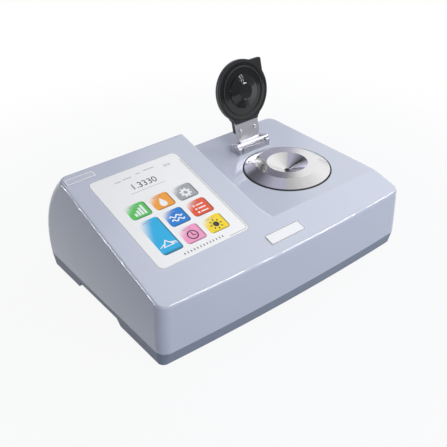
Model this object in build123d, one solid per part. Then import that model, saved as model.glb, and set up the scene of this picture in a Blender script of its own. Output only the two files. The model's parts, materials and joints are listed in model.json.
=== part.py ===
"""Digital bench refractometer: wedge housing with a sloping touch screen, a low deck with a
stainless prism stage, and a black light-shield lid that stands open on its hinge.

Frame: millimetres, +Z up, +Y to the rear, +X to the right. The origin is on the table, under
the middle of the housing. The lid is modelled open, leaning back on its stop.
"""
import math
import os

from build123d import *

# ---------------------------------------------------------------- housing
body_w = 370.0          # widest, at the parting line
body_d = 259.0          # front bow to rear bulge
foot_h = 2.5            # rubber feet below the base pan
base_h = 18.5           # base pan, up to the parting line
base_taper = 16.0       # degrees that the pan's front and rear lean in
side_taper = 7.0        # degrees that its sides lean in
front_h = 62.5          # parting line to the front top edge
slope_deg = 14.4        # pitch of the top
front_bow = 5.1         # how far the front face bulges in plan
side_mid_in = 2.6       # side draft, parting line to front top edge
side_top_in = 8.9       # side draft, parting line to the ridge
ridge_in = 42.0         # ridge ahead of the rearmost point
rear_bulge_z = 42.5     # height of the rearmost point
rear_r = 129.6          # rear face, radius in side view
deck_h = 73.5           # deck above the parting line
deck_wall_x = 2.0       # right flank of the raised half, at its top
deck_wall_run = 4.6     # how far that flank spreads on its way down to the deck
corner_r = 13.0         # upright corners
edge_r = 3.5            # top edges
deck_root_r = 5.0       # hollow where the flank meets the deck
wall = 3.0              # cover wall
pan_wall = 2.6

half_w = body_w / 2
rear_y = body_d / 2
front_y = -body_d / 2 + front_bow
ridge_y = rear_y - ridge_in
base_z = foot_h
part_z = base_z + base_h
front_top_z = part_z + front_h
deck_z = part_z + deck_h
slope = math.radians(slope_deg)
rear_centre_y = rear_y - rear_r
bow_r = (half_w ** 2 + front_bow ** 2) / (2 * front_bow)

# ---------------------------------------------------------------- grips, feet, screws, floor
grip_y0 = -32.0         # front end of the finger recess, at its roof
grip_y1 = 52.0          # rear end
grip_h = 9.5            # roof of the recess above the pan's edge
grip_d = 27.0           # depth in from the side
grip_run = 5.0          # slant of its ends
foot_r = 9.0
foot_seat = 1.0         # feet sit this deep in the pan
foot_in_x = 34.0        # feet in from the sides
foot_in_y = 34.0
screw_in_x = 17.0       # cover screws in from the sides
screw_in_y = 24.0
post_r = 5.0            # cover's screw posts
m4_r = 2.0
m4_head_r = 3.8
m4_head_h = 2.6
m4_len = 16.0
screw_seat = 5.0        # heads bear this far below the parting line
screw_gap = 0.05        # round a screw in its hole
lip_h = 3.0             # pan's lip up inside the cover
lip_t = 1.4
lip_gap = 0.2
vent_n = 7
vent_w = 3.0
vent_len = 40.0
vent_pitch = 7.0
vent_y = 60.0

# ---------------------------------------------------------------- chassis and boards
chassis_t = 1.5
chassis_in_x = 39.0     # in from the sides
chassis_in_y = 34.5     # in from the front and rear
chassis_lift = 5.0      # above the pan's floor
stud_r = 4.0
board_t = 1.6
standoff_r = 2.6
standoff_h = 8.0
main_w = 132.0
main_d = 84.0
main_in_x = 29.0        # main board in from the left side
main_in_y = 30.4        # and back from the front edge
board_parts = [         # across, back, width and depth as shares of the board, then height in mm
    (0.10, 0.10, 0.17, 0.26, 1.6),      # processor
    (0.34, 0.10, 0.10, 0.24, 1.6),      # memory
    (-0.22, 0.26, 0.16, 0.12, 6.4),     # display header
    (-0.22, -0.05, 0.09, 0.18, 3.2),    # driver
    (0.10, -0.36, 0.40, 0.07, 8.0),     # sensor header
    (-0.36, -0.30, 0.07, 0.22, 8.0)]    # power header
cell_at = (0.36, -0.18)                 # likewise
buzzer_at = (-0.36, 0.32)
psu_w = 112.0
psu_d = 68.0
psu_h = 34.0
psu_in_x = 41.0         # supply in from the left side
psu_in_y = 41.5         # and from the rear
psu_case_t = 1.2
cell_r = 10.0
cell_h = 3.2
buzzer_r = 6.0
buzzer_h = 8.5

# ---------------------------------------------------------------- display
panel_in_x = 94.9       # middle of the panel, from the left side
panel_in_y = 115.0      # and from the front edge, in plan
panel_w = 122.8
panel_l = 150.0         # along the slope
panel_r = 7.0
panel_t = 1.2
panel_proud = 0.2
panel_gap = 0.3
window_w = 108.0
window_l = 134.0
window_r = 3.0
panel_edge = 0.3        # bevel round its top edge
glass_t = 1.0
lcd_t = 5.0
lcd_rim = 5.0           # lcd module past the window, all round
lcd_frame_t = 1.5       # sheet-metal carrier
ear_w = 14.0
ear_post_r = 4.0

# ---------------------------------------------------------------- plates on the cover
plate_t = 0.9
front_plate_x = 1.5
front_plate_in_y = 17.0 # back from the front edge
front_plate_w = 51.0
front_plate_l = 15.5
rear_plate_in_x = 31.5  # in from the left side
rear_plate_in_y = 12.0  # ahead of the ridge
rear_plate_w = 38.0
rear_plate_l = 9.8

# ---------------------------------------------------------------- prism stage
stage_in_x = 89.0       # middle of the stage, in from the right side
stage_y = -8.4
stage_r = 55.0          # rim of the outer cone
stage_rim_h = 1.2       # top of the rim above the deck
stage_rim_t = 0.8
gasket_out = 2.0        # gasket shows this far round the rim
stage_step_r = 41.0     # outer cone meets the flat ring
stage_step_h = 8.7
stage_lip_r = 26.4      # flat ring meets the well
stage_lip_h = 9.1
well_r = 3.1            # foot of the well, round the prism
well_h = -2.0
spigot_r = 49.6
spigot_gap = 0.4
stage_deep = 10.0       # underside of the stage below the deck
window_land = 2.0       # metal left round the prism's face
prism_face_gap = 0.1
prism_w = 15.0
prism_d = 12.0
prism_h = 8.0
seal_t = 0.6
seal_r = 6.6
prism_pocket_gap = 0.4

# ---------------------------------------------------------------- optics below the stage
beam_deg = 55.0         # beams, from the vertical
beam_len = 45.0         # prism to the block's slanted ends
beam_wide_at = 24.0     # bore widens here for the lenses
beam_r = 4.0
lens_r = 5.9
lens_gap = 0.1
lens_t = 3.6
lens_edge = 1.6
filter_t = 2.0
retainer_t = 3.0
retainer_in = 4.4
block_d = 56.0
block_face = 14.0       # half height of a slanted end
flange_r = 40.0
flange_t = 5.0
block_screw_r = 35.0    # pitch circle radius
block_screw_in = 6.0
block_screw_deg = 20.0  # off the front-rear line
nut_t = 5.0
lamp_r = 10.0
lamp_t = 9.0
lamp_grooves = 3
lamp_groove_r = 7.0
sensor_w = 22.0
sensor_h = 9.0
sensor_t = 3.0
sensor_board_w = 34.0
sensor_board_l = 24.0
peltier_w = 26.0
peltier_t = 3.6
peltier_drop = 1.0      # below the top of the heat sink
sink_w = 52.0
sink_h = 34.0
sink_d = 34.0
sink_base = 5.0
fin_n = 9
fin_t = 1.6
probe_r = 1.5
probe_in = 8.0          # up into the stage
probe_gap = 0.1

# ---------------------------------------------------------------- fan
fan_w = 60.0
fan_t = 15.0
fan_z = 58.0
fan_in_y = 16.5         # its rear face, on the cover's frame, from the rearmost point
fan_bore_r = 28.3
fan_hub_r = 11.5
fan_boss_t = 3.5
fan_shaft_r = 1.5
fan_fit = 0.05
fan_end_gap = 0.5       # rotor to the spider, and its face below the frame's
fan_blades = 7
blade_tip_r = 27.2
blade_chord = 12.0
blade_t = 1.2
blade_deg = 38.0
strut_w = 3.0
frame_t = 2.4           # frames moulded inside the rear wall
grille_n = 9
grille_w = 3.2
grille_pitch = 6.0

# ---------------------------------------------------------------- rear panel
rear_panel_in_x = 95.0  # middle of the panel, in from the left side
rear_panel_z = 53.0
rear_panel_w = 140.0
rear_panel_h = 50.0
rear_panel_in_y = 9.5   # outer face, from the rearmost point
rear_panel_t = 2.0
rear_ledge = 4.0
rear_gap = 0.3
rear_screw_r = 1.5
rear_screw_head_r = 2.8
inlet_at = 45.0         # across, from the panel's middle
inlet_w = 31.0
inlet_h = 24.0
inlet_lip = 2.0
inlet_body_w = 27.0
inlet_body_h = 20.0
inlet_deep = 18.0
inlet_cav_w = 24.0
inlet_cav_h = 16.4
inlet_cav_d = 15.0
inlet_pin_w = 2.0
inlet_pin_h = 4.0
inlet_pin_gap = 7.0
inlet_pin_in = 3.0      # pins end this far inside the mouth
switch_at = 7.0
switch_w = 16.0
switch_h = 23.0
switch_lip = 1.6
switch_body_w = 13.6
switch_body_h = 19.4
switch_deep = 16.0
rocker_w = 9.6
rocker_r = 7.6
rocker_gap = 0.3
rocker_out = 2.6        # pivot to the middle of its face
rocker_deg = 10.0       # throw each side of level
rocker_pin_r = 1.2
rocker_fit = 0.05
serial_at = -37.0
serial_z = 63.0
serial_w = 31.0
serial_h = 12.6
serial_shell_w = 17.0
serial_shell_h = 8.4
serial_out = 6.0
serial_flange_t = 1.0
serial_post_pitch = 25.0
usb_z = 43.0
usb_w = 14.0
usb_h = 7.0
usb_out = 1.0
io_board_in = 12.0      # board that the connectors end on, from the panel's outer face
usb_pitch = 20.0

# ---------------------------------------------------------------- lid and hinge
lid_open_deg = 104.2    # from closed to its stop
hinge_h = 9.7           # pin axis above the deck
lid_reach = 70.0        # pin to the lid's middle
lid_r = 40.8
rim_h = 11.0            # lid's rim above the deck when closed
lid_side_h = 7.5
lid_crown_h = 14.0
lid_crown_r = 26.0      # crown is this wide where it has fallen by the next value
lid_crown_fall = 1.2
lid_edge_r = 3.0
lid_wall = 2.4
tab_x = 36.6            # corner of the finger tab, from the lid's middle
tab_y = 36.4
tab_t = 4.5
tab_r = 2.5
tab_root_r = 6.0        # hollow where the tab leaves the rim
neck_w = 38.6
neck_end = 28.6         # front edge of the neck, from the pin
neck_start = 34.0       # its front leans back from here
neck_lean = 1.9
neck_flare = 3.2        # wider each side where it meets the disc
neck_flare_low = 31.5   # from here, from the pin
neck_flare_high = 36.0  # to here
tongue_end = 14.0       # lower end of the tongue behind the leaf, from the pin
tongue_t = 5.5
tongue_r = 5.0
insert_gap = 0.1
insert_edge_r = 37.4
insert_floor = 0.4      # its outer edge, up from the rim
boss_base_r = 22.0
boss_tip_r = 11.3
boss_drop = 6.4         # its tip below the rim
boss_foot = 2.0         # its base below the rim
boss_shelf = 0.9        # the surface round it, below the rim
boss_edge = 0.5         # bevel round its tip
insert_back = 5.2
seal_in_r = 30.2
seal_out_r = 32.6
seal_drop = 1.3
seal_seat = 1.2         # top of its groove, up from the rim
seal_side_gap = 0.1
hinge_w = 52.9
knuckle_w = 6.0
knuckle_r = 3.6
knuckle_gap = 0.3
pin_r = 1.75
pin_fit = 0.05
pin_out = 0.4           # ends stand out of the ears
pin_bevel = 0.35
leaf_w = 38.2
leaf_low_w = 30.0
leaf_low_v = 1.8        # narrow end, from the pin
leaf_wide_v = 12.0      # full width from here
leaf_end = 30.2
leaf_end_gap = 0.1      # in the lid's slot
leaf_t = 2.0
leaf_up = 2.9           # leaf's face behind the lid's rim
leaf_root_r = 1.5
leaf_screw_v = 18.2
leaf_screw_pitch = 24.0
leaf_screw_r = 1.25
leaf_screw_head_r = 2.4
leaf_screw_head_h = 1.2
leaf_screw_len = 4.0
leaf_screw_end = 0.2    # left below its tip
bracket_front = 6.2     # bracket ahead of the pin
bracket_back = 13.0     # and behind it
bracket_t = 2.2
stop_t = 4.0
stop_gap = 0.25
stop_up = 3.5           # stop reaches this far up the leaf's back from the pin
front_low = 1.5         # front wall's top below the pin
relief_w = 1.0          # slots in the wall beside the knuckles
bracket_screw_r = 1.5
bracket_screw_up = 4.0
bracket_screw_in = 1.0  # screws behind the bracket's middle

# ---------------------------------------------------------------- places that follow from the sizes
panel_x = panel_in_x - half_w
panel_y = front_y + panel_in_y
front_plate_y = front_y + front_plate_in_y
rear_plate_x = rear_plate_in_x - half_w
rear_plate_y = ridge_y - rear_plate_in_y
stage_x = half_w - stage_in_x
fan_x = stage_x
fan_back_y = rear_y - fan_in_y
rear_panel_x = rear_panel_in_x - half_w
rear_panel_y = rear_y - rear_panel_in_y
inlet_x = rear_panel_x + inlet_at
switch_x = rear_panel_x + switch_at
serial_x = rear_panel_x + serial_at
usb_xs = (serial_x - usb_pitch / 2, serial_x + usb_pitch / 2)
io_board_y = rear_panel_y - io_board_in
chassis_w = body_w - 2 * chassis_in_x
chassis_d = body_d - 2 * chassis_in_y
main_x = main_in_x + main_w / 2 - half_w
main_y = front_y + main_in_y + main_d / 2
psu_x = psu_in_x + psu_w / 2 - half_w
psu_y = rear_y - psu_in_y - psu_d / 2
hinge_y = stage_y + lid_reach
hinge_z = deck_z + hinge_h
rim_z = deck_z + rim_h
inner_front_z = base_z + pan_wall
chassis_z = inner_front_z + chassis_lift
floor_z = chassis_z + chassis_t
board_z = floor_z + standoff_h
screw_seat_z = part_z - screw_seat
barrel_half = hinge_w / 2 - knuckle_w - knuckle_gap
prism_roof_z = deck_z + well_h - window_land
prism_pocket_r = math.hypot(prism_w, prism_d) / 2 + prism_pocket_gap
filter_at = beam_wide_at + lens_edge + retainer_t
rocker_y = rear_panel_y + switch_lip - rocker_out
rocker_pin_half = (rocker_w + switch_body_w) / 4 + rocker_gap
probe_y = stage_y - block_d / 2 - probe_in / 2
sink_top_z = deck_z - stage_deep - flange_t - 2 * bracket_screw_r - spigot_gap
peltier_z = sink_top_z - peltier_w / 2 - peltier_drop
lcd_w = window_w + 2 * lcd_rim
lcd_l = window_l + 2 * lcd_rim
sheet_low = panel_proud - panel_t


def corners(dx, dy, x=0.0, y=0.0):
    """The four corners of a rectangle about a point."""
    return [(x + sx * dx, y + sy * dy) for sx in (-1, 1) for sy in (-1, 1)]


screw_places = corners(half_w - screw_in_x, body_d / 2 - screw_in_y)
foot_places = corners(half_w - foot_in_x, body_d / 2 - foot_in_y)
chassis_places = corners(chassis_w / 2 - 2 * stud_r, chassis_d / 2 - 2 * stud_r)
ear_places = corners((lcd_w + ear_w) / 2, lcd_l / 3)
board_places = corners(main_w / 2 - 2 * standoff_r, main_d / 2 - 2 * standoff_r, main_x, main_y)
block_screw_places = corners(block_screw_r * math.sin(math.radians(block_screw_deg)),
                             block_screw_r * math.cos(math.radians(block_screw_deg)), stage_x, stage_y)
panel_screw_places = corners(rear_panel_w / 2 - rear_ledge, rear_panel_h / 2 - rear_ledge,
                             rear_panel_x, rear_panel_z)
bracket_screw_dy = bracket_front / 2 + bracket_screw_in
bracket_screw_places = corners((hinge_w - knuckle_w) / 2, bracket_screw_dy,
                               stage_x, hinge_y + bracket_screw_dy)


# ================================================================ helpers
def block(x0, x1, y0, y1, z0, z1):
    """Box between two corners."""
    return Pos((x0 + x1) / 2, (y0 + y1) / 2, (z0 + z1) / 2) * Box(x1 - x0, y1 - y0, z1 - z0)


def rod(radius, z0, z1, x=0.0, y=0.0):
    """Upright cylinder."""
    return Pos(x, y, (z0 + z1) / 2) * Cylinder(radius, z1 - z0)


def rod_x(radius, x0, x1, y, z):
    """Cylinder along X."""
    return Pos((x0 + x1) / 2, y, z) * Rot(0, 90, 0) * Cylinder(radius, x1 - x0)


def rod_y(radius, y0, y1, x, z):
    """Cylinder along Y."""
    return Pos(x, (y0 + y1) / 2, z) * Rot(90, 0, 0) * Cylinder(radius, y1 - y0)


def fuse(items):
    """One shape out of many."""
    whole = items[0]
    for item in items[1:]:
        whole = whole + item
    return whole


def ring(outer, inner, z0, z1, x=0.0, y=0.0):
    """Flat ring."""
    return rod(outer, z0, z1, x, y) - rod(inner, z0 - 1, z1 + 1, x, y)


def turned(points, x, y, z):
    """Solid of revolution about an upright axis from (radius, height) points."""
    face = make_face(Plane.XZ * Polyline(*points, close=True))
    return Pos(x, y, z) * revolve(face, Axis.Z)


def slope_z(y):
    """Height of the sloping top at a place in plan."""
    return front_top_z + (y - front_y) * math.tan(slope)


def rear_at(z):
    """How far back the bulging rear reaches at a height."""
    return rear_centre_y + math.sqrt(rear_r ** 2 - (z - rear_bulge_z) ** 2)


def slope_plane(x, y):
    """Plane on the sloping top, x to the right and y up the slope."""
    return Plane(origin=(x, y, slope_z(y)), x_dir=(1, 0, 0), z_dir=(0, -math.sin(slope), math.cos(slope)))


def bevelled(slab, size):
    """Slab on the slope with a bevel round its outer face."""
    outward = Axis((0, 0, 0), slope_plane(0, 0).z_dir)
    return chamfer(slab.faces().sort_by(outward)[-1].edges(), size)


# ================================================================ housing form
def side_profile(inset, bottom):
    """Front, slope and bulging rear in side view, moved in by the inset."""
    rise = math.tan(slope)
    drop = slope_z(ridge_y) - ridge_y * rise - rear_bulge_z
    a = 1 + rise * rise
    b = 2 * (rise * drop - rear_centre_y)
    c = rear_centre_y ** 2 + drop ** 2 - rear_r ** 2
    top_y = (-b + math.sqrt(b * b - 4 * a * c)) / (2 * a)
    far = -body_d
    top = (top_y, slope_z(top_y))
    middle_z = (top[1] + bottom) / 2
    lines = [
        Line((far, bottom), (far, slope_z(far))),
        Line((far, slope_z(far)), top),
        ThreePointArc(top, (rear_at(middle_z), middle_z), (rear_at(bottom), bottom)),
        Line((rear_at(bottom), bottom), (far, bottom)),
    ]
    face = make_face(lines)
    if inset:
        face = offset(face, -inset, kind=Kind.INTERSECTION)
    return extrude(Plane.YZ * face, amount=body_w, both=True)


def end_profile(inset):
    """Width in front view: sides that lean in as they rise."""
    p0 = Vector(half_w, part_z)
    p1 = Vector(half_w - side_mid_in, front_top_z)
    p2 = Vector(half_w - side_top_in, slope_z(ridge_y))
    side = ThreePointArc(p0, p1, p2)
    lean = side % 1
    over = p2 + lean * body_d / 4
    low = p0 - Vector(0, body_d / 4)

    def left(p):
        return Vector(-p.X, p.Y)

    lines = [
        side,
        Line(p2, over),
        Line(over, left(over)),
        Line(left(over), left(p2)),
        ThreePointArc(left(p2), left(p1), left(p0)),
        Line(left(p0), left(low)),
        Line(left(low), low),
        Line(low, p0),
    ]
    face = make_face(lines)
    if inset:
        face = offset(face, -inset, kind=Kind.INTERSECTION)
    return extrude(Plane.XZ * face, amount=body_d, both=True)


def plan_profile(inset):
    """Plan view: only the bowed front matters, the other sides lie outside."""
    centre_y = bow_r - body_d / 2
    wide = half_w + wall * 4
    end_y = centre_y - math.sqrt(bow_r ** 2 - wide ** 2)
    lines = [
        ThreePointArc((-wide, end_y), (0, -body_d / 2), (wide, end_y)),
        Line((wide, end_y), (wide, body_d)),
        Line((wide, body_d), (-wide, body_d)),
        Line((-wide, body_d), (-wide, end_y)),
    ]
    face = make_face(lines)
    if inset:
        face = offset(face, -inset, kind=Kind.INTERSECTION)
    return extrude(Plane.XY * face, amount=body_d, both=True)


def deck_cutter(inset):
    """What is taken off the right half: above the deck, right of the leaning flank."""
    high = slope_z(ridge_y) - deck_z
    big = body_w
    spread = deck_wall_run / high
    x_top = deck_wall_x + spread * -big
    x_low = deck_wall_x + spread * big
    shift = -inset
    face = make_face(Polyline(
        (x_top + shift, big), (x_low + shift, -big), (big * 2, -big), (big * 2, big), close=True))
    plane = Plane(
        origin=(0, ridge_y, slope_z(ridge_y)),
        x_dir=(1, 0, 0),
        z_dir=(0, -math.cos(slope), -math.sin(slope)))
    flank = extrude(plane * face, amount=big * 2, both=True)
    return flank & block(-big, big, -big, big, deck_z - inset, deck_z + big)


def bare_housing(inset, bottom):
    """Form of the cover moved in, with its edges sharp."""
    return side_profile(inset, bottom) & end_profile(inset) & plan_profile(inset) - deck_cutter(inset)


def housing(inset, bottom):
    """Outer form of the cover, or its hollow when inset is the wall."""
    form = bare_housing(inset, bottom)
    uprights = [
        e for e in form.edges()
        if abs(e.center().X) > half_w * 0.85 and abs((e % 0.5).Z) > 0.7]
    form = fillet(uprights, corner_r - inset)
    return form


def round_top(form):
    """Rounds the flank's root and the top edges."""
    near = 3 * deck_wall_run
    root = [
        e for e in form.edges()
        if abs(e.center().Z - deck_z) < 0.01 and abs(e.center().X - deck_wall_x) < near
        and abs((e % 0.5).Y) > 0.9]
    form = fillet(root, deck_root_r)
    normal = Vector(0, -math.sin(slope), math.cos(slope))
    tops = [
        f for f in form.faces()
        if (f.normal_at(f.center()) - normal).length < 0.01
        or (f.normal_at(f.center()) - Vector(0, 0, 1)).length < 0.01]
    edges = []
    for face in tops:
        for e in face.outer_wire().edges():
            c = e.center()
            on_junction = abs(c.Z - deck_z) < 0.5 and abs((e % 0.5).X) > 0.99 and c.Y < 0
            on_root = abs(c.X - deck_wall_x) < near and c.Z < deck_z + 0.5 and abs((e % 0.5).Y) > 0.5
            if not on_junction and not on_root:
                edges.append(e)
    return fillet(edges, edge_r)


# ================================================================ cover and base
def outline(inset, z, side_inset=None):
    """Cover's outline at the parting line, moved in, as a face at a height."""
    radius = bow_r - inset
    wide = half_w - (inset if side_inset is None else side_inset)
    centre_y = bow_r - body_d / 2
    end_y = centre_y - math.sqrt(radius ** 2 - wide ** 2)
    back_y = rear_at(part_z) - inset
    face = make_face([
        ThreePointArc((-wide, end_y), (0, centre_y - radius), (wide, end_y)),
        Line((wide, end_y), (wide, back_y)),
        Line((wide, back_y), (-wide, back_y)),
        Line((-wide, back_y), (-wide, end_y))])
    return Pos(0, 0, z) * fillet(face.vertices(), max(corner_r - inset, lip_t))


def tapered(inset, low):
    """The pan's form from the parting line down to a height, leaning in."""
    lean = (part_z - low) * math.tan(math.radians(base_taper))
    side_lean = (part_z - low) * math.tan(math.radians(side_taper))
    return loft([outline(inset + lean, low, inset + side_lean), outline(inset, part_z)])


def framed_opening(x, z, width, height, back_y, shell):
    """Walls round an opening, from the outer face of the cover inward."""
    half_x = width / 2 + frame_t
    half_z = height / 2 + frame_t
    return block(x - half_x, x + half_x, back_y, body_d, z - half_z, z + half_z) & shell


def upper_cover():
    outer = round_top(housing(0, part_z))
    shell = outer - housing(wall, part_z - body_d / 4)
    inner = bare_housing(wall / 2, part_z - wall / 2)
    posts = [rod(post_r, part_z, body_d, x, y) & inner for x, y in screw_places]
    for x, y in ear_places:
        plane = slope_plane(panel_x + x, panel_y + y * math.cos(slope))
        posts.append(extrude(plane.offset(-wall - lcd_t) * Circle(ear_post_r), amount=lcd_t + wall / 2))
    rear_frame = framed_opening(
        rear_panel_x, rear_panel_z, rear_panel_w + 2 * rear_gap, rear_panel_h + 2 * rear_gap,
        rear_panel_y - rear_panel_t - frame_t, outer)
    fan_frame_block = framed_opening(
        fan_x, fan_z, fan_w + 2 * rear_gap, fan_w + 2 * rear_gap,
        fan_back_y - fan_t / 2, outer)
    cover = fuse([shell] + posts + [rear_frame, fan_frame_block])

    # rear panel: pocket from outside, then the way through inside its ledge
    cuts = [
        rear_block(rear_panel_w + 2 * rear_gap, rear_panel_h + 2 * rear_gap,
                   rear_panel_y - rear_panel_t, body_d),
        rear_block(rear_panel_w - 2 * rear_ledge, rear_panel_h - 2 * rear_ledge,
                   rear_panel_y - rear_panel_t - 2 * frame_t, body_d)]
    for x, z in panel_screw_places:
        cuts.append(rod_y(rear_screw_r + screw_gap, rear_panel_y - rear_panel_t - 2 * frame_t,
                          rear_panel_y, x, z))

    # fan: square pocket from inside, slots through the wall
    half = fan_w / 2 + rear_gap
    cuts.append(block(fan_x - half, fan_x + half, 0, fan_back_y, fan_z - half, fan_z + half))
    for i in range(grille_n):
        x = (i - (grille_n - 1) / 2) * grille_pitch
        tall = 2 * math.sqrt(fan_bore_r ** 2 - (abs(x) + grille_w / 2) ** 2)
        slot = Plane.XZ * Pos(fan_x + x, fan_z) * SlotOverall(tall, grille_w, rotation=90)
        cuts.append(extrude(slot, amount=-body_d))
    well = rod_y(fan_bore_r, fan_back_y - 1, rear_y - 2 * wall, fan_x, fan_z)
    cuts.append(well)

    # display: shallow pocket, then the window
    plane = slope_plane(panel_x, panel_y)
    pocket = RectangleRounded(panel_w + 2 * panel_gap, panel_l + 2 * panel_gap, panel_r + panel_gap)
    cuts.append(extrude(plane.offset(sheet_low) * pocket, amount=2 * panel_t))
    window = RectangleRounded(window_w, window_l, window_r)
    cuts.append(extrude(plane.offset(-2 * wall) * window, amount=3 * wall))

    # stage, hinge and screws
    cuts.append(rod(spigot_r + spigot_gap, deck_z - 2 * wall, deck_z + wall, stage_x, stage_y))
    for x, y in bracket_screw_places:
        cuts.append(rod(bracket_screw_r + screw_gap, deck_z - 2 * wall, deck_z + wall, x, y))
    for x, y in screw_places:
        cuts.append(rod(m4_r + screw_gap, part_z - 1, part_z + m4_len, x, y))
    for cut in cuts:
        cover = cover - cut
    return cover


def rear_block(width, height, y0, y1):
    """Box centred on the rear panel."""
    return block(rear_panel_x - width / 2, rear_panel_x + width / 2, y0, y1,
                 rear_panel_z - height / 2, rear_panel_z + height / 2)


def grip_recess(side, grow):
    """Finger recess under one side, or the pan's wall round it when grown."""
    roof = base_z + grip_h + grow
    y0 = grip_y0 - grow
    y1 = grip_y1 + grow
    low = base_z - 2 * grip_h
    run = grip_run / grip_h * (roof - low)
    face = make_face(Plane.YZ * Polyline(
        (y0, roof), (y0 - run, low), (y1 + run, low), (y1, roof), close=True))
    inner = half_w - grip_d - grow
    solid = extrude(face, amount=half_w * 2) & block(inner, half_w * 2, -body_d, body_d, -body_d, body_d)
    return solid if side > 0 else mirror(solid, Plane.YZ)


def base_pan():
    side_t = wall + lip_gap + lip_t
    outer = tapered(0, base_z)
    hollow = tapered(side_t, inner_front_z)
    for side in (-1, 1):
        outer = outer - grip_recess(side, 0)
        hollow = hollow - grip_recess(side, pan_wall)
    pan = outer - hollow
    lip = extrude(outline(wall + lip_gap, part_z), amount=lip_h, dir=(0, 0, 1))
    lip = lip - extrude(outline(side_t, part_z), amount=lip_h, dir=(0, 0, 1))
    adds = [lip]
    for x, y in screw_places:
        adds.append(rod(post_r + frame_t, base_z, part_z, x, y))
    for x, y in chassis_places:
        adds.append(rod(stud_r, inner_front_z - 1, chassis_z, x, y))
    pan = fuse([pan] + adds)
    cuts = []
    for x, y in screw_places:
        cuts.append(rod(m4_r + screw_gap, base_z - 1, part_z + lip_h, x, y))
        cuts.append(rod(m4_head_r + rear_gap, base_z - 1, screw_seat_z, x, y))
    for x, y in foot_places:
        cuts.append(rod(foot_r, base_z - 1, base_z + foot_seat, x, y))
    for i in range(vent_n):
        x = stage_x + (i - (vent_n - 1) / 2) * vent_pitch
        slot = Plane.XY * Pos(x, vent_y) * SlotOverall(vent_len, vent_w, rotation=90)
        cuts.append(extrude(slot, amount=base_z + 2 * pan_wall))
    for cut in cuts:
        pan = pan - cut
    return pan


def rubber_feet():
    feet = []
    for x, y in foot_places:
        foot = rod(foot_r - screw_gap, 0, base_z + foot_seat, x, y)
        feet.append(chamfer(foot.edges().sort_by(Axis.Z)[0], foot_h / 4))
    return Compound(children=feet)


def cover_screws():
    out = []
    for x, y in screw_places:
        head = rod(m4_head_r, screw_seat_z - m4_head_h, screw_seat_z, x, y)
        socket = extrude(Plane.XY.offset(screw_seat_z - m4_head_h) * Pos(x, y)
                         * RegularPolygon(m4_r, 6), amount=m4_head_h / 2)
        out.append(head + rod(m4_r, screw_seat_z, screw_seat_z + m4_len, x, y) - socket)
    return Compound(children=out)


def chassis_plate():
    plate = block(-chassis_w / 2, chassis_w / 2, -chassis_d / 2, chassis_d / 2, chassis_z, floor_z)
    plate = fillet(plate.edges().filter_by(Axis.Z), stud_r)
    half = vent_n * vent_pitch / 2
    duct = block(stage_x - half, stage_x + half, vent_y - vent_len / 2, vent_y + vent_len / 2,
                 chassis_z - 1, floor_z + 1)
    return plate - duct


# ================================================================ display
def panel_layer(width, length, radius, low, high):
    """Rounded slab on the panel's plane, between two depths."""
    plane = slope_plane(panel_x, panel_y)
    return extrude(plane.offset(low) * RectangleRounded(width, length, radius), amount=high - low)


def display_overlay():
    """Front sheet of the touch screen, whole over the window and bevelled round its edge."""
    return bevelled(panel_layer(panel_w, panel_l, panel_r, sheet_low, panel_proud), panel_edge)


def touch_glass():
    return panel_layer(window_w - panel_gap, window_l - panel_gap, window_r, sheet_low - glass_t, sheet_low)


def lcd_module():
    """Display with its raised face, which reaches up into the window."""
    module = panel_layer(lcd_w, lcd_l, window_r, -wall - lcd_t, -wall)
    face = panel_layer(window_w - 2 * panel_gap, window_l - 2 * panel_gap, window_r,
                       -wall, sheet_low - glass_t)
    return module + face


def display_frame():
    low = -wall - lcd_t - lcd_frame_t
    frame = panel_layer(lcd_w, lcd_l, window_r, low, low + lcd_frame_t)
    frame = frame - panel_layer(window_w - 2 * ear_w, window_l - 2 * ear_w, window_r, low - 1, 0)
    plane = slope_plane(panel_x, panel_y).offset(low)
    for x, y in ear_places:
        inner = math.copysign(lcd_w / 2, x)
        ear = Pos((x + inner) / 2, y) * Rectangle(abs(x - inner) + ear_post_r * 2, ear_w)
        frame = frame + extrude(plane * ear, amount=lcd_frame_t)
    for x, y in ear_places:
        frame = frame - extrude(plane * Pos(x, y) * Circle(bracket_screw_r + screw_gap),
                                amount=lcd_frame_t)
    return frame


def display_screws():
    out = []
    low = -wall - lcd_t - lcd_frame_t
    plane = slope_plane(panel_x, panel_y).offset(low)
    for x, y in ear_places:
        head = extrude(plane * Pos(x, y) * Circle(rear_screw_head_r), amount=-bracket_screw_r)
        shank = extrude(plane * Pos(x, y) * Circle(bracket_screw_r), amount=lcd_frame_t)
        out.append(head + shank)
    return Compound(children=out)


def name_plate(x, y, width, length):
    """Bare plate with bevelled edges, on the slope."""
    slab = extrude(slope_plane(x, y) * RectangleRounded(width, length, 2 * plate_t), amount=plate_t)
    return bevelled(slab, plate_t / 3)


# ================================================================ prism stage and optics
def prism_stage():
    stage = turned([
        (0, well_h),
        (well_r, well_h),
        (stage_lip_r, stage_lip_h),
        (stage_step_r, stage_step_h),
        (stage_r, stage_rim_h),
        (stage_r, stage_rim_h - stage_rim_t),
        (spigot_r, stage_rim_h - stage_rim_t),
        (spigot_r, -stage_deep),
        (0, -stage_deep)], stage_x, stage_y, deck_z)
    low = deck_z - stage_deep
    stage = stage - rod(well_r, low, deck_z, stage_x, stage_y)
    stage = stage - rod(prism_pocket_r, low - 1, prism_roof_z, stage_x, stage_y)
    for x, y in block_screw_places:
        stage = stage - rod(bracket_screw_r + screw_gap, low - 1, low + block_screw_in, x, y)
    return stage - rod(probe_r + probe_gap, low - 1, low + probe_in + probe_gap, stage_x, probe_y)


def stage_gasket():
    return ring(stage_r + gasket_out, spigot_r + spigot_gap, deck_z,
                deck_z + stage_rim_h - stage_rim_t, stage_x, stage_y)


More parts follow.
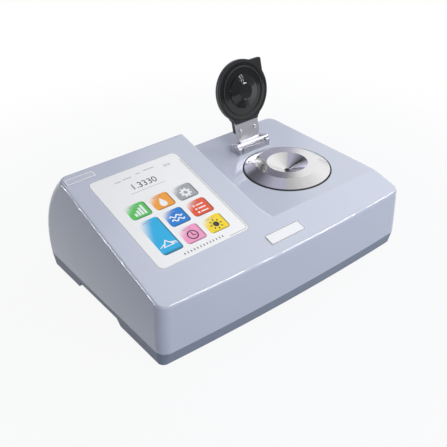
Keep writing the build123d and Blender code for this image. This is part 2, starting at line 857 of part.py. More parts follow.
def stage_nut():
    """Ring nut that draws the stage down on the deck, with four spanner notches."""
    top = deck_z - wall
    nut = ring(stage_r, spigot_r + pin_fit, top - nut_t, top, stage_x, stage_y)
    for turn in range(4):
        notch = Pos(stage_x, stage_y, top - nut_t) * Rot(0, 0, turn * 90) * Pos(stage_r, 0, 0)
        nut = nut - notch * Box(nut_t, nut_t, nut_t)
    return nut


def prism():
    """Square-cut block with slanted ends for the beams, and a round face in the well."""
    top = prism_roof_z - seal_t
    lean = prism_h / math.tan(math.radians(beam_deg))
    half = prism_w / 2
    face = make_face(Plane.XZ * Polyline(
        (-half, 0), (half, 0), (half - lean, -prism_h), (lean - half, -prism_h), close=True))
    body = Pos(stage_x, stage_y, top) * extrude(face, amount=prism_d / 2, both=True)
    return body + rod(well_r - prism_face_gap, top, deck_z + well_h, stage_x, stage_y)


def prism_seal():
    return ring(seal_r, well_r + prism_face_gap, prism_roof_z - seal_t, prism_roof_z, stage_x, stage_y)


def beam(side, along):
    """Plane square to a beam, at a distance from the prism."""
    direction = Vector(side * math.sin(math.radians(beam_deg)), 0, -math.cos(math.radians(beam_deg)))
    start = Vector(stage_x, stage_y, prism_roof_z - seal_t - prism_h / 2)
    return Plane(origin=start + direction * along, x_dir=(0, 1, 0), z_dir=direction)


def beam_rod(side, radius, s0, s1):
    return extrude(beam(side, s0) * Circle(radius), amount=s1 - s0)


def optical_block():
    top = deck_z - stage_deep
    left = beam(-1, beam_len)
    rise = Vector(math.cos(math.radians(beam_deg)), 0, -math.sin(math.radians(beam_deg)))
    high = left.origin - rise * block_face
    low = left.origin + rise * block_face
    half_top = stage_x - high.X
    half_low = stage_x - low.X
    face = make_face(Plane.XZ * Polyline(
        (-half_top, top), (half_top, top), (half_top, high.Z), (half_low, low.Z),
        (-half_low, low.Z), (-half_top, high.Z), close=True))
    body = Pos(stage_x, stage_y, 0) * extrude(face, amount=block_d / 2, both=True)
    body = body + rod(flange_r, top - flange_t, top, stage_x, stage_y)
    body = body - rod(prism_pocket_r, top - prism_h, top + 1, stage_x, stage_y)
    for side in (-1, 1):
        body = body - beam_rod(side, beam_r, 0, beam_len + 1)
        body = body - beam_rod(side, lens_r + lens_gap, beam_wide_at, beam_len + 1)
    for x, y in block_screw_places:
        body = body - rod(bracket_screw_r + screw_gap, top - flange_t - 1, top + 1, x, y)
    return body - rod(probe_r + probe_gap, top - flange_t - 1, top + 1, stage_x, probe_y)


def block_screws():
    low = deck_z - stage_deep - flange_t
    out = []
    for x, y in block_screw_places:
        head = rod(rear_screw_head_r, low - bracket_screw_r * 2, low, x, y)
        out.append(head + rod(bracket_screw_r, low, low + flange_t + block_screw_in - 1, x, y))
    return Compound(children=out)


def lens(side):
    """Flat back on the bore's shoulder, domed middle, thin rim."""
    sag = lens_t - lens_edge
    radius = (retainer_in ** 2 + sag ** 2) / (2 * sag)
    half = math.asin(retainer_in / radius) / 2
    middle = (radius * math.sin(half), lens_t - radius + radius * math.cos(half))
    face = make_face([
        Line((0, 0), (lens_r, 0)),
        Line((lens_r, 0), (lens_r, lens_edge)),
        Line((lens_r, lens_edge), (retainer_in, lens_edge)),
        ThreePointArc((retainer_in, lens_edge), middle, (0, lens_t)),
        Line((0, lens_t), (0, 0))])
    return beam(side, beam_wide_at).location * revolve(Plane.XZ * face, Axis.Z)


def lens_rings():
    out = []
    for side in (-1, 1):
        s0 = beam_wide_at + lens_edge
        out.append(beam_rod(side, lens_r, s0, filter_at) - beam_rod(side, retainer_in, s0 - 1, filter_at + 1))
    return Compound(children=out)


def interference_filter():
    return beam_rod(-1, lens_r, filter_at, filter_at + filter_t)


def light_source():
    snout = beam_rod(-1, lens_r, filter_at + filter_t, beam_len)
    snout = snout - beam_rod(-1, beam_r, filter_at, beam_len)
    lamp = beam_rod(-1, lamp_r, beam_len, beam_len + lamp_t)
    for i in range(lamp_grooves):
        at = beam_len + (i + 1) * lamp_t / (lamp_grooves + 1)
        groove = beam_rod(-1, lamp_r + 1, at, at + fin_t / 2)
        lamp = lamp - (groove - beam_rod(-1, lamp_groove_r, at - 1, at + fin_t))
    return snout + lamp


def line_sensor():
    return extrude(beam(1, beam_len) * Rectangle(sensor_w, sensor_h), amount=sensor_t)


def sensor_board():
    plane = beam(1, beam_len + sensor_t)
    return extrude(plane * RectangleRounded(sensor_board_w, sensor_board_l, board_t), amount=board_t)


def temperature_probe():
    low = deck_z - stage_deep
    tip = rod(probe_r, low - flange_t, low + probe_in, stage_x, probe_y)
    return tip + rod(probe_r * 2, low - flange_t - probe_r * 3, low - flange_t, stage_x, probe_y)


def peltier_module():
    y0 = stage_y + block_d / 2
    half = peltier_w / 2
    return block(stage_x - half, stage_x + half, y0, y0 + peltier_t, peltier_z - half, peltier_z + half)


def heat_sink():
    y0 = stage_y + block_d / 2 + peltier_t
    half = sink_w / 2
    z0 = sink_top_z - sink_h
    sink = block(stage_x - half, stage_x + half, y0, y0 + sink_base, z0, sink_top_z)
    step = (sink_w - fin_t) / (fin_n - 1)
    for i in range(fin_n):
        x = stage_x - half + i * step
        sink = sink + block(x, x + fin_t, y0 + sink_base, y0 + sink_d, z0, sink_top_z)
    return sink


# ================================================================ fan
def fan_housing():
    y0 = fan_back_y - fan_t
    half = fan_w / 2
    body = block(fan_x - half, fan_x + half, y0, fan_back_y, fan_z - half, fan_z + half)
    body = fillet(body.edges().filter_by(Axis.Y), strut_w)
    body = body - rod_y(fan_bore_r, y0 - 1, fan_back_y + 1, fan_x, fan_z)
    boss_y = fan_back_y - fan_boss_t
    spider = rod_y(fan_hub_r, boss_y, fan_back_y, fan_x, fan_z)
    for turn in range(4):
        arm = Pos(fan_x, (boss_y + fan_back_y) / 2, fan_z) * Rot(0, 45 + turn * 90, 0)
        spider = spider + arm * Pos(fan_w / 4, 0, 0) * Box(fan_w / 2, fan_boss_t, strut_w)
    body = body + spider
    body = body - rod_y(fan_shaft_r + fan_fit, y0, fan_back_y + 1, fan_x, fan_z)
    for x, z in corners(fan_w / 2 - strut_w * 1.5, fan_w / 2 - strut_w * 1.5):
        body = body - rod_y(bracket_screw_r, y0 - 1, fan_back_y + 1, fan_x + x, fan_z + z)
    return body


def fan_rotor():
    y0 = fan_back_y - fan_t + fan_end_gap
    y1 = fan_back_y - fan_boss_t - fan_end_gap
    hub = rod_y(fan_hub_r, y0, y1, fan_x, fan_z)
    hub = hub + rod_y(fan_shaft_r, y1, fan_back_y - fan_end_gap, fan_x, fan_z)
    middle = (y0 + y1) / 2
    span = blade_tip_r - fan_hub_r + blade_t
    blades = []
    for i in range(fan_blades):
        place = Pos(fan_x, middle, fan_z) * Rot(0, i * 360 / fan_blades, 0)
        blade = place * Pos(blade_tip_r - span / 2, 0, 0) * Rot(blade_deg, 0, 0)
        blades.append(blade * Box(span, blade_chord, blade_t))
    return fuse([hub] + blades) & rod_y(blade_tip_r, 0, body_d, fan_x, fan_z)


# ================================================================ rear panel
def rear_panel():
    y0 = rear_panel_y - rear_panel_t
    plate = rear_block(rear_panel_w, rear_panel_h, y0, rear_panel_y)
    plate = fillet(plate.edges().filter_by(Axis.Y), panel_t)
    holes = [
        (inlet_x, rear_panel_z, inlet_body_w, inlet_body_h),
        (switch_x, rear_panel_z, switch_body_w, switch_body_h),
        (serial_x, serial_z, serial_shell_w, serial_shell_h)]
    for x in usb_xs:
        holes.append((x, usb_z, usb_w, usb_h))
    for x, z, width, height in holes:
        half_x = width / 2 + rear_gap
        half_z = height / 2 + rear_gap
        plate = plate - block(x - half_x, x + half_x, y0 - 1, body_d, z - half_z, z + half_z)
    for x, z in panel_screw_places:
        plate = plate - rod_y(rear_screw_r + screw_gap, y0 - 1, body_d, x, z)
    return plate


def rear_panel_screws():
    out = []
    for x, z in panel_screw_places:
        head = rod_y(rear_screw_head_r, rear_panel_y, rear_panel_y + rear_screw_r, x, z)
        out.append(head + rod_y(rear_screw_r, rear_panel_y - rear_panel_t - frame_t, rear_panel_y, x, z))
    return Compound(children=out)


def on_panel(x, z, width, height, y0, y1):
    """Upright box centred on a place on the rear panel."""
    return block(x - width / 2, x + width / 2, y0, y1, z - height / 2, z + height / 2)


def power_inlet():
    """Three-pin mains inlet: lip, body, keyed cavity and three flat pins."""
    front = rear_panel_y + inlet_lip
    lip = on_panel(inlet_x, rear_panel_z, inlet_w, inlet_h, rear_panel_y, front)
    lip = fillet(lip.edges().filter_by(Axis.Y), inlet_lip)
    body = on_panel(inlet_x, rear_panel_z, inlet_body_w, inlet_body_h,
                    rear_panel_y - inlet_deep, rear_panel_y)
    floor_y = front - inlet_cav_d
    cavity = on_panel(inlet_x, rear_panel_z, inlet_cav_w, inlet_cav_h, floor_y, front)
    upper = [e for e in cavity.edges().filter_by(Axis.Y) if e.center().Z > rear_panel_z]
    cavity = chamfer(upper, inlet_pin_h)
    inlet = lip + body - cavity
    pin_y = front - inlet_pin_in
    for x in (-inlet_pin_gap, inlet_pin_gap):
        inlet = inlet + on_panel(inlet_x + x, rear_panel_z + inlet_pin_w / 2, inlet_pin_w,
                                 inlet_pin_h, floor_y, pin_y)
    return inlet + on_panel(inlet_x, rear_panel_z + inlet_pin_h, inlet_pin_w, inlet_pin_h,
                            floor_y, pin_y)


def switch_housing():
    front = rear_panel_y + switch_lip
    lip = on_panel(switch_x, rear_panel_z, switch_w, switch_h, rear_panel_y, front)
    lip = fillet(lip.edges().filter_by(Axis.Y), switch_lip)
    body = on_panel(switch_x, rear_panel_z, switch_body_w, switch_body_h,
                    rear_panel_y - switch_deep, rear_panel_y)
    half = rocker_w / 2 + rocker_gap
    well = rod_x(rocker_r + rocker_gap, switch_x - half, switch_x + half, rocker_y, rear_panel_z)
    mouth = on_panel(switch_x, rear_panel_z, 2 * half, 2 * (rocker_r + rocker_gap), rocker_y, front + 1)
    pivot = rod_x(rocker_pin_r + rocker_fit, switch_x - rocker_pin_half, switch_x + rocker_pin_half,
                  rocker_y, rear_panel_z)
    return lip + body - well - mouth - pivot


def switch_rocker():
    """Shallow V in front, round behind, drawn at one end of its throw."""
    rise = rocker_r * math.tan(math.radians(rocker_deg))
    face = make_face(Plane.YZ * Polyline(
        (-rocker_r / 2, -rocker_r), (rocker_out + rise, -rocker_r), (rocker_out, 0),
        (rocker_out + rise, rocker_r), (-rocker_r / 2, rocker_r), close=True))
    rocker = extrude(face, amount=rocker_w / 2, both=True) & rod_x(rocker_r, -half_w, half_w, 0, 0)
    pins = rod_x(rocker_pin_r, -rocker_pin_half + rocker_fit, rocker_pin_half - rocker_fit, 0, 0)
    return Pos(switch_x, rocker_y, rear_panel_z) * Rot(-rocker_deg, 0, 0) * (rocker + pins)


def serial_port():
    """Nine-way socket with a D-shaped shell and two jack posts."""
    flange = on_panel(serial_x, serial_z, serial_w, serial_h, rear_panel_y,
                      rear_panel_y + serial_flange_t)
    half = serial_shell_w / 2
    tall = serial_shell_h / 2
    shell_face = make_face(Plane.XZ * Polyline(
        (-half, tall), (half, tall), (half - board_t, -tall), (board_t - half, -tall), close=True))
    shell = Pos(serial_x, rear_panel_y, serial_z) * extrude(shell_face, amount=-serial_out)
    port = flange + shell
    port = port + on_panel(serial_x, serial_z, serial_shell_w, serial_shell_h, io_board_y, rear_panel_y)
    for side in (-1, 1):
        post = Plane.XZ.offset(-rear_panel_y) * Pos(serial_x + side * serial_post_pitch / 2, serial_z)
        port = port + extrude(post * RegularPolygon(rear_screw_head_r, 6), amount=-serial_out)
    return port


def usb_ports():
    """Two metal sockets, each with its tongue."""
    out = []
    for x in usb_xs:
        shell = on_panel(x, usb_z, usb_w, usb_h, io_board_y, rear_panel_y + usb_out)
        cavity = on_panel(x, usb_z, usb_w - board_t, usb_h - board_t, io_board_y + board_t,
                          rear_panel_y + usb_out)
        tongue = on_panel(x, usb_z + board_t / 2, usb_w - 3 * board_t, board_t,
                          io_board_y, rear_panel_y - usb_out)
        out.append(shell - cavity + tongue)
    return Compound(children=out)


def interface_board():
    half = (serial_w + usb_pitch) / 2
    board = block(serial_x - half, serial_x + half, io_board_y - board_t, io_board_y,
                  usb_z - usb_h, serial_z + serial_h)
    return fillet(board.edges().filter_by(Axis.Y), board_t)


# ================================================================ boards
def on_board(x, y):
    """Place on the main board, from shares of its width and depth."""
    return main_x + x * main_w, main_y + y * main_d


def main_board():
    """Circuit board with its processor, memory, relays and headers."""
    board = block(main_x - main_w / 2, main_x + main_w / 2, main_y - main_d / 2, main_y + main_d / 2,
                  board_z, board_z + board_t)
    for x, y in board_places:
        board = board - rod(bracket_screw_r, board_z - 1, board_z + board_t + 1, x, y)
    top = board_z + board_t
    for x, y, width, depth, height in board_parts:
        at_x, at_y = on_board(x, y)
        half_x = width * main_w / 2
        half_y = depth * main_d / 2
        board = board + block(at_x - half_x, at_x + half_x, at_y - half_y, at_y + half_y, top, top + height)
    return board


def board_standoffs():
    out = []
    for x, y in board_places:
        post = extrude(Plane.XY.offset(floor_z) * Pos(x, y) * RegularPolygon(standoff_r, 6),
                       amount=standoff_h)
        stub = rod(bracket_screw_r - screw_gap, board_z, board_z + 2 * board_t, x, y)
        out.append(post + stub)
    return Compound(children=out)


def backup_cell():
    return rod(cell_r, board_z + board_t, board_z + board_t + cell_h, *on_board(*cell_at))


def buzzer():
    at = on_board(*buzzer_at)
    low = board_z + board_t
    body = rod(buzzer_r, low, low + buzzer_h, *at)
    return body - rod(buzzer_r / 5, low + buzzer_h / 2, low + buzzer_h + 1, *at)


def power_supply():
    """Sheet-metal case with rows of slots over the converter."""
    half_x = psu_w / 2
    half_y = psu_d / 2
    case = block(psu_x - half_x, psu_x + half_x, psu_y - half_y, psu_y + half_y, floor_z, floor_z + psu_h)
    case = fillet(case.edges().filter_by(Axis.Z), psu_case_t)
    t = psu_case_t
    case = case - block(psu_x - half_x + t, psu_x + half_x - t, psu_y - half_y + t, psu_y + half_y - t,
                        floor_z + t, floor_z + psu_h - t)
    for i in range(vent_n):
        x = psu_x + (i - (vent_n - 1) / 2) * psu_w / (vent_n + 1)
        slot = Plane.XY * Pos(x, psu_y) * SlotOverall(vent_len, vent_w, rotation=90)
        case = case - extrude(slot.moved(Location((0, 0, floor_z + psu_h - 2 * t))), amount=3 * t)
    return case


# ================================================================ lid and hinge
def swing(shape):
    """From closed to standing open on the stop."""
    turn = Pos(0, hinge_y, hinge_z) * Rot(-lid_open_deg, 0, 0) * Pos(0, -hinge_y, -hinge_z)
    return turn * shape


def lid_shell():
    """Black moulded cap: crowned back, rim, finger tab, and the neck that grips the leaf."""
    edge_in = lid_edge_r * (1 - math.sqrt(0.5))
    shoulder = (lid_r - lid_edge_r, lid_side_h)
    outer_face = make_face([
        Line((0, 0), (lid_r, 0)),
        Line((lid_r, 0), (lid_r, lid_side_h - lid_edge_r)),
        ThreePointArc((lid_r, lid_side_h - lid_edge_r), (lid_r - edge_in, lid_side_h - edge_in), shoulder),
        Spline(shoulder, (lid_crown_r, lid_crown_h - lid_crown_fall), (0, lid_crown_h),
               tangents=[(-1, 0.25), (-1, 0)]),
        Line((0, lid_crown_h), (0, 0))])
    cap = revolve(Plane.XZ * outer_face, Axis.Z)

    # finger tab
    outline = Circle(lid_r) + Pos(tab_x / 2, -tab_y / 2) * Rectangle(tab_x, tab_y)
    roots = [v for v in outline.vertices()
             if abs(math.hypot(v.X, v.Y) - lid_r) < 0.01 and v.X > 0 and v.Y < -1]
    outline = fillet(roots, tab_root_r)
    tip = outline.vertices().sort_by_distance((tab_x, -tab_y))[0]
    tab = extrude(fillet(tip, tab_r), amount=tab_t)

    # neck and the tongue behind the leaf
    half = neck_w / 2
    right = [(half, -tongue_end), (half, -neck_flare_low),
             (half + neck_flare, -neck_flare_high), (half + neck_flare, -lid_reach)]
    left = [(-x, y) for x, y in reversed(right)]
    plan = make_face(Polyline(*right, *left, close=True))
    plan = fillet(plan.vertices().sort_by(Axis.Y)[-2:], tongue_r)
    seat = leaf_up + leaf_t
    neck = Pos(0, lid_reach) * extrude(plan, amount=seat + tongue_t)
    cap = Pos(stage_x, stage_y, rim_z) * (cap + tab + neck)
    slot_z = leaf_up - leaf_end_gap
    slot_end = leaf_end + leaf_end_gap
    front_cut = make_face(Plane.YZ * Polyline(
        (0, -seat), (-neck_start, -seat), (-neck_start, 0), (-neck_end, neck_lean), (-neck_end, slot_z),
        (-slot_end, slot_z), (-slot_end, seat), (0, seat), close=True))
    cap = cap - Pos(stage_x, hinge_y, rim_z) * extrude(front_cut, amount=neck_w, both=True)

    inner = lid_r - lid_wall
    cap = cap - rod(inner, rim_z - 1, rim_z + insert_back, stage_x, stage_y)
    cap = cap - rod((inner + lid_crown_r) / 2, rim_z, rim_z + lid_side_h, stage_x, stage_y)
    for x in (-leaf_screw_pitch / 2, leaf_screw_pitch / 2):
        low = rim_z + seat
        cap = cap - rod(leaf_screw_r + screw_gap, low - 1, low + leaf_screw_len - leaf_t,
                        stage_x + x, hinge_y - leaf_screw_v)
    return swing(cap)


def lid_insert():
    """Glossy inner plate whose blunt cone dips into the stage's well."""
    inner = lid_r - lid_wall - insert_gap
    plate = turned([
        (0, -boss_drop),
        (boss_tip_r - 2 * boss_edge, -boss_drop),
        (boss_tip_r, boss_edge - boss_drop),
        (boss_base_r, -boss_foot),
        (boss_base_r + boss_edge, -boss_shelf),
        (insert_edge_r, insert_floor),
        (inner, insert_floor / 2),
        (inner, insert_back),
        (0, insert_back)], stage_x, stage_y, rim_z)
    groove = ring(seal_out_r + seal_side_gap, seal_in_r - seal_side_gap, rim_z - boss_foot, rim_z + seal_seat)
    return swing(plate - Pos(stage_x, stage_y) * groove)


def lid_seal():
    low = rim_z - seal_drop
    seal = ring(seal_out_r, seal_in_r, low, rim_z + seal_seat, stage_x, stage_y)
    return swing(fillet(seal.edges().sort_by(Axis.Z)[:2], (seal_out_r - seal_in_r) / 3))


def hinge_leaf():
    """Stainless arm: knuckle on the pin and a flat leaf that widens upwards."""
    low = rim_h - hinge_h + leaf_up
    high = low + leaf_t
    side = make_face(Plane.YZ * Polyline(
        (knuckle_r, 0), (knuckle_r * 0.85, knuckle_r), (0, high), (-leaf_end, high),
        (-leaf_end, low), (-knuckle_r, low), (-knuckle_r, 0), close=True))
    root = side.vertices().sort_by_distance((0, -knuckle_r, low))[0]
    flat = extrude(fillet(root, leaf_root_r), amount=leaf_w, both=True)
    right = [(leaf_low_w / 2, 2 * knuckle_r), (leaf_low_w / 2, -leaf_low_v),
             (leaf_w / 2, -leaf_wide_v), (leaf_w / 2, -leaf_end)]
    left = [(-x, y) for x, y in reversed(right)]
    plan = make_face(Polyline(*right, *left, close=True))
    leaf = flat & extrude(plan, amount=lid_r, both=True)
    leaf = leaf + rod_x(knuckle_r, -barrel_half, barrel_half, 0, 0)
    leaf = leaf - rod_x(pin_r + pin_fit, -hinge_w, hinge_w, 0, 0)
    for x in (-leaf_screw_pitch / 2, leaf_screw_pitch / 2):
        leaf = leaf - rod(leaf_screw_r + screw_gap, low - 1, high + 1, x, -leaf_screw_v)
    return swing(Pos(stage_x, hinge_y, hinge_z) * leaf)


def leaf_screws():
    low = rim_z + leaf_up
    out = []
    for x in (-leaf_screw_pitch / 2, leaf_screw_pitch / 2):
        at = (stage_x + x, hinge_y - leaf_screw_v)
        head = rod(leaf_screw_head_r, low - leaf_screw_head_h, low, *at)
        head = fillet(head.edges().sort_by(Axis.Z)[0], leaf_screw_head_h / 2)
        out.append(swing(head + rod(leaf_screw_r, low, low + leaf_screw_len - leaf_screw_end, *at)))
    return Compound(children=out)


def hinge_bracket():
    """Plate on the deck with two knuckled ears, a low front wall and the lid's stop."""
    low = -hinge_h
    plate = block(-hinge_w / 2, hinge_w / 2, -bracket_front, bracket_back, low, low + bracket_t)
    ear_face = make_face(Plane.YZ * Polyline(
        (-bracket_front, low), (-bracket_front, -front_low), (-knuckle_r, 0), (0, knuckle_r),
        (bracket_back, 0), (bracket_back, low), close=True))
    adds = []
    for side in (-1, 1):
        x0 = side * (hinge_w / 2 - knuckle_w / 2)
        adds.append(Pos(x0, 0, 0) * extrude(ear_face, amount=knuckle_w / 2, both=True))
        adds.append(rod_x(knuckle_r, x0 - knuckle_w / 2, x0 + knuckle_w / 2, 0, 0))
    front = block(-hinge_w / 2, hinge_w / 2, -bracket_front, -bracket_front + bracket_t,
                  low, -front_low)
    lean = math.radians(lid_open_deg)
    out = Vector(0, math.sin(lean), math.cos(lean))
    up = Vector(0, -math.cos(lean), math.sin(lean))
    far = rim_h - hinge_h + leaf_up + leaf_t + stop_gap
    foot = out * far + up * ((low - out.Z * far) / up.Z)
    head = out * far + up * stop_up
    stop_face = make_face(Plane.YZ * Polyline(
        (foot.Y, foot.Z), (head.Y, head.Z), (head.Y + stop_t, head.Z - stop_t / 2),
        (bracket_back, low), close=True))
    stop = extrude(stop_face, amount=barrel_half + knuckle_gap, both=True)
    bracket = fuse([plate] + adds + [front, stop])
    bracket = bracket - rod_x(pin_r, -hinge_w, hinge_w, 0, 0)
    for x in (-barrel_half - knuckle_gap / 2, barrel_half + knuckle_gap / 2):
        bracket = bracket - block(x - relief_w / 2, x + relief_w / 2, -body_d, -knuckle_r,
                                  low + bracket_t, 0)
    bracket = Pos(stage_x, hinge_y, hinge_z) * bracket
    for x, y in bracket_screw_places:
        bracket = bracket - rod(bracket_screw_r, deck_z - 1, deck_z + bracket_screw_up, x, y)
    return bracket


def bracket_screws():
    out = []
    for x, y in bracket_screw_places:
        low = deck_z - wall
        head = rod(rear_screw_head_r, low - bracket_screw_r, low, x, y)
        out.append(head + rod(bracket_screw_r, low, deck_z + bracket_screw_up, x, y))
    return Compound(children=out)


def hinge_pin():
    pin = rod_x(pin_r, -hinge_w / 2 - pin_out, hinge_w / 2 + pin_out, 0, 0)
    pin = chamfer(pin.edges().filter_by(GeomType.CIRCLE), pin_bevel)
    return Pos(stage_x, hinge_y, hinge_z) * pin


# ================================================================ write the parts
def main():
    nodes = {
        "upper_cover": upper_cover,
        "base_pan": base_pan,
        "rubber_feet": rubber_feet,
        "cover_screws": cover_screws,
        "chassis_plate": chassis_plate,
        "display_overlay": display_overlay,
        "touch_glass": touch_glass,
        "lcd_module": lcd_module,
        "display_frame": display_frame,
        "display_screws": display_screws,
        "front_plate": lambda: name_plate(front_plate_x, front_plate_y, front_plate_w, front_plate_l),
        "rear_plate": lambda: name_plate(rear_plate_x, rear_plate_y, rear_plate_w, rear_plate_l),
        "prism_stage": prism_stage,
        "stage_gasket": stage_gasket,
        "stage_nut": stage_nut,
        "prism": prism,
        "prism_seal": prism_seal,
        "optical_block": optical_block,
        "block_screws": block_screws,
        "condenser_lens": lambda: lens(-1),
        "objective_lens": lambda: lens(1),
        "lens_rings": lens_rings,
        "interference_filter": interference_filter,
        "light_source": light_source,
        "line_sensor": line_sensor,
        "sensor_board": sensor_board,
        "temperature_probe": temperature_probe,
        "peltier_module": peltier_module,
        "heat_sink": heat_sink,
        "fan_frame": fan_housing,
        "fan_rotor": fan_rotor,
        "rear_panel": rear_panel,
        "rear_panel_screws": rear_panel_screws,
        "power_inlet": power_inlet,
        "switch_housing": switch_housing,
        "switch_rocker": switch_rocker,
        "serial_port": serial_port,
        "usb_ports": usb_ports,
        "interface_board": interface_board,
        "main_board": main_board,
        "board_standoffs": board_standoffs,
        "backup_cell": backup_cell,
        "buzzer": buzzer,
        "power_supply": power_supply,
        "lid_shell": lid_shell,
        "lid_insert": lid_insert,
        "lid_seal": lid_seal,
        "hinge_leaf": hinge_leaf,
        "leaf_screws": leaf_screws,
        "hinge_bracket": hinge_bracket,
        "bracket_screws": bracket_screws,
        "hinge_pin": hinge_pin,
    }
    os.makedirs("parts", exist_ok=True)
    for name, make in nodes.items():
        export_step(make(), f"parts/{name}.step")


main()
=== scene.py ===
"""Looks of the bench refractometer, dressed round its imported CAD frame.

Metres, +Z up, -Y to the front. Print and the face of the serial socket are sized in millimetres and
turned into metres by mm(). Their places come from the boxes of the CAD nodes.
"""

import json
import math

import bpy
from mathutils import Matrix, Vector


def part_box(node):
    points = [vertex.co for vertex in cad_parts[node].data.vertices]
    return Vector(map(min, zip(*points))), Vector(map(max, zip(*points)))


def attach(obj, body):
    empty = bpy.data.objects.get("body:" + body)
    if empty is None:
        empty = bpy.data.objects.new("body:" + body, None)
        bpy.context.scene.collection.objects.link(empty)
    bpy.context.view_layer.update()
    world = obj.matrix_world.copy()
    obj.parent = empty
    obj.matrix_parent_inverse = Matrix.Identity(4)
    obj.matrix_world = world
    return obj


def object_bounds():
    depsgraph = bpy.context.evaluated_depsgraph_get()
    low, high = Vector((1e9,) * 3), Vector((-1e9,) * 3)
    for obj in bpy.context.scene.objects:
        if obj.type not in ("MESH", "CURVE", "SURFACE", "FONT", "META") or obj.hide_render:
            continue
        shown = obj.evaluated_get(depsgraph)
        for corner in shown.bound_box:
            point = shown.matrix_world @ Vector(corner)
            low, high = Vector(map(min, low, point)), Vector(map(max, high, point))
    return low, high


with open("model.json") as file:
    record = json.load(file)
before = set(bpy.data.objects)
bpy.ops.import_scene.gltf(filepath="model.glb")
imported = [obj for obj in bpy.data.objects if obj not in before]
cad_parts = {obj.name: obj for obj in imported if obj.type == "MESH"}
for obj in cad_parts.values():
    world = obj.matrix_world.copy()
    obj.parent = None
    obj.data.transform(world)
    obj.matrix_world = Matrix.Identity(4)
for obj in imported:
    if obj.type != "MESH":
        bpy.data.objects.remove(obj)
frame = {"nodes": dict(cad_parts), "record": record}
cad_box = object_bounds()

# ---------------------------------------------------------------- camera
camera_at = (-0.4691, -0.5919, 0.5557)
camera_yaw = 38.23          # degrees, looking from front left to rear right
camera_pitch = 34.04        # degrees down
camera_roll = -0.84
camera_lens = 58.03         # mm
camera_sensor = 36.0

# ---------------------------------------------------------------- lamps, world and floor
lamps = [                   # name, ends of the middle line, width, watts, whether only gloss shows it
    ("key", (-0.35, -1.00, 0.90), (0.40, -1.00, 0.90), 0.5, 9.6, False),
    ("top", (1.00, -0.35, 0.85), (0.80, 0.65, 0.95), 1.1, 10.0, False),
    ("front_edge", (0.28, -0.52, 1.12), (1.05, -0.43, 0.87), 0.18, 11.0, True),
    ("glint_left", (0.64, -0.714, 0.84), (0.64, -0.714, 0.94), 0.026, 0.55, True),
    ("glint_right", (0.77, -0.642, 0.81), (0.77, -0.642, 0.91), 0.026, 0.55, True),
    ("left_edge", (-1.06, 0.20, 0.40), (-0.90, 0.80, 0.50), 0.13, 9.0, True)]

sky_strength = 0.18
sky_colour = (0.92, 0.96, 1.04)
dark_wall = [               # Z of the mirrored direction, brightness there
    (0.0, 0.95), (0.20, 0.80), (0.30, 0.62), (0.41, 0.46), (0.47, 0.42), (0.53, 0.20), (0.60, 0.11),
    (0.78, 0.16), (0.89, 0.34), (0.96, 0.52), (1.0, 0.55)]
dark_tint = (0.93, 0.93, 1.17)
bright_wall = [
    (0.0, 0.75), (0.20, 1.0), (0.45, 1.05), (0.80, 1.0), (0.90, 0.92), (0.97, 0.78), (1.0, 0.55)]
wall_seam = (-0.02, 0.035)  # X less Y of that direction, from the dark wall to the bright one
front_fade = (-0.45, 0.1)   # Y of that direction, from front_share to the walls' full brightness
front_share = 0.35

floor_half = 4.0
floor_seen = 0.30           # the floor fades into the white background from here
floor_gone = 0.70
floor_white = 0.93          # share of white that it shows nearer than that
floor_colour = (0.24, 0.305, 0.44)

smooth_deg = 20             # edges of the CAD meshes that turn more than this stay sharp

# ---------------------------------------------------------------- print and painted shade on the slope, mm
slope_deg = 14.4
print_t = 0.05
print_gap = 0.01            # between print and the face under it
over_tile = print_t         # lift of what is printed on a tile
sheet_r = 7.0               # corners of the front sheet

column_a = (-47.0, -20.5)   # sides of the tiles, from the middle of the sheet
column_b = (-15.0, 11.5)
column_c = (17.3, 44.5)
row_1 = (-1.0, 22.0)
row_2 = (-31.0, -6.5)
row_3 = (-61.0, -36.5)
tile_r = 4.0
tile_pale = (0.25, 1.0)     # turns pale over this, from 0 on its diagonal to 1 at its upper left corner
tile_rim = (0.90, 0.99)     # turns deep over this, from 0 to 1 across to its right and lower edges
tile_deep = 0.35            # share of its colour there
sign_drop = 1.5             # signs stand this far under the middle of their tiles
prism_up = 13.0             # prism of the tall tile, from the tile's foot

caption_drop = 3.6          # marks of a caption, from the tile's upper edge
caption_marks = [(6.0, 11.5), (12.7, 17.0)]
caption_w = 0.9
reading = ("1.3330", 13.0, -3.0, 45.5)      # text, size, place of the middle
reading_small = ("20.0", 5.6, 39.0, 59.5)
reading_line = ((-26.0, 36.6), (21.0, 36.6), 0.5)
header_marks = [(-33.0, 8.0), (-22.0, 12.0), (-3.0, 6.0), (8.0, 15.0)]      # start, length
header_y = 63.5
header_climb = 0.08         # each mark stands higher by this share of its start
header_w = 0.9
edge_inset = 2.4            # painted shade: thin dark line down the right edge and round the lower right corner of the sheet
edge_r = 4.0
edge_top = 14.0             # its upper end, from the upper edge of the sheet
edge_reach = 26.0
edge_w = 0.45
scale_count = 13
scale_start = -26.0
scale_pitch = 4.3
scale_span = (-70.4, -67.6)
scale_w = 1.1

# ---------------------------------------------------------------- serial socket, mm
socket_half_x = 8.5         # shell of the socket
socket_half_y = 4.2
socket_rim = 0.7
socket_slant = 1.6
contact_pitch = 2.75
contact_row = 1.4
contact_r = 0.55

# ---------------------------------------------------------------- colours of the print
green = (0.10, 0.58, 0.11)
amber = (0.93, 0.37, 0.035)
grey = (0.37, 0.39, 0.42)
blue = (0.0, 0.21, 0.68)
red = (0.80, 0.085, 0.02)
pink = (0.91, 0.34, 0.58)
yellow = (0.95, 0.70, 0.004)
cyan = (0.012, 0.44, 0.80)
pale_corner = (0.92, 0.92, 0.93)

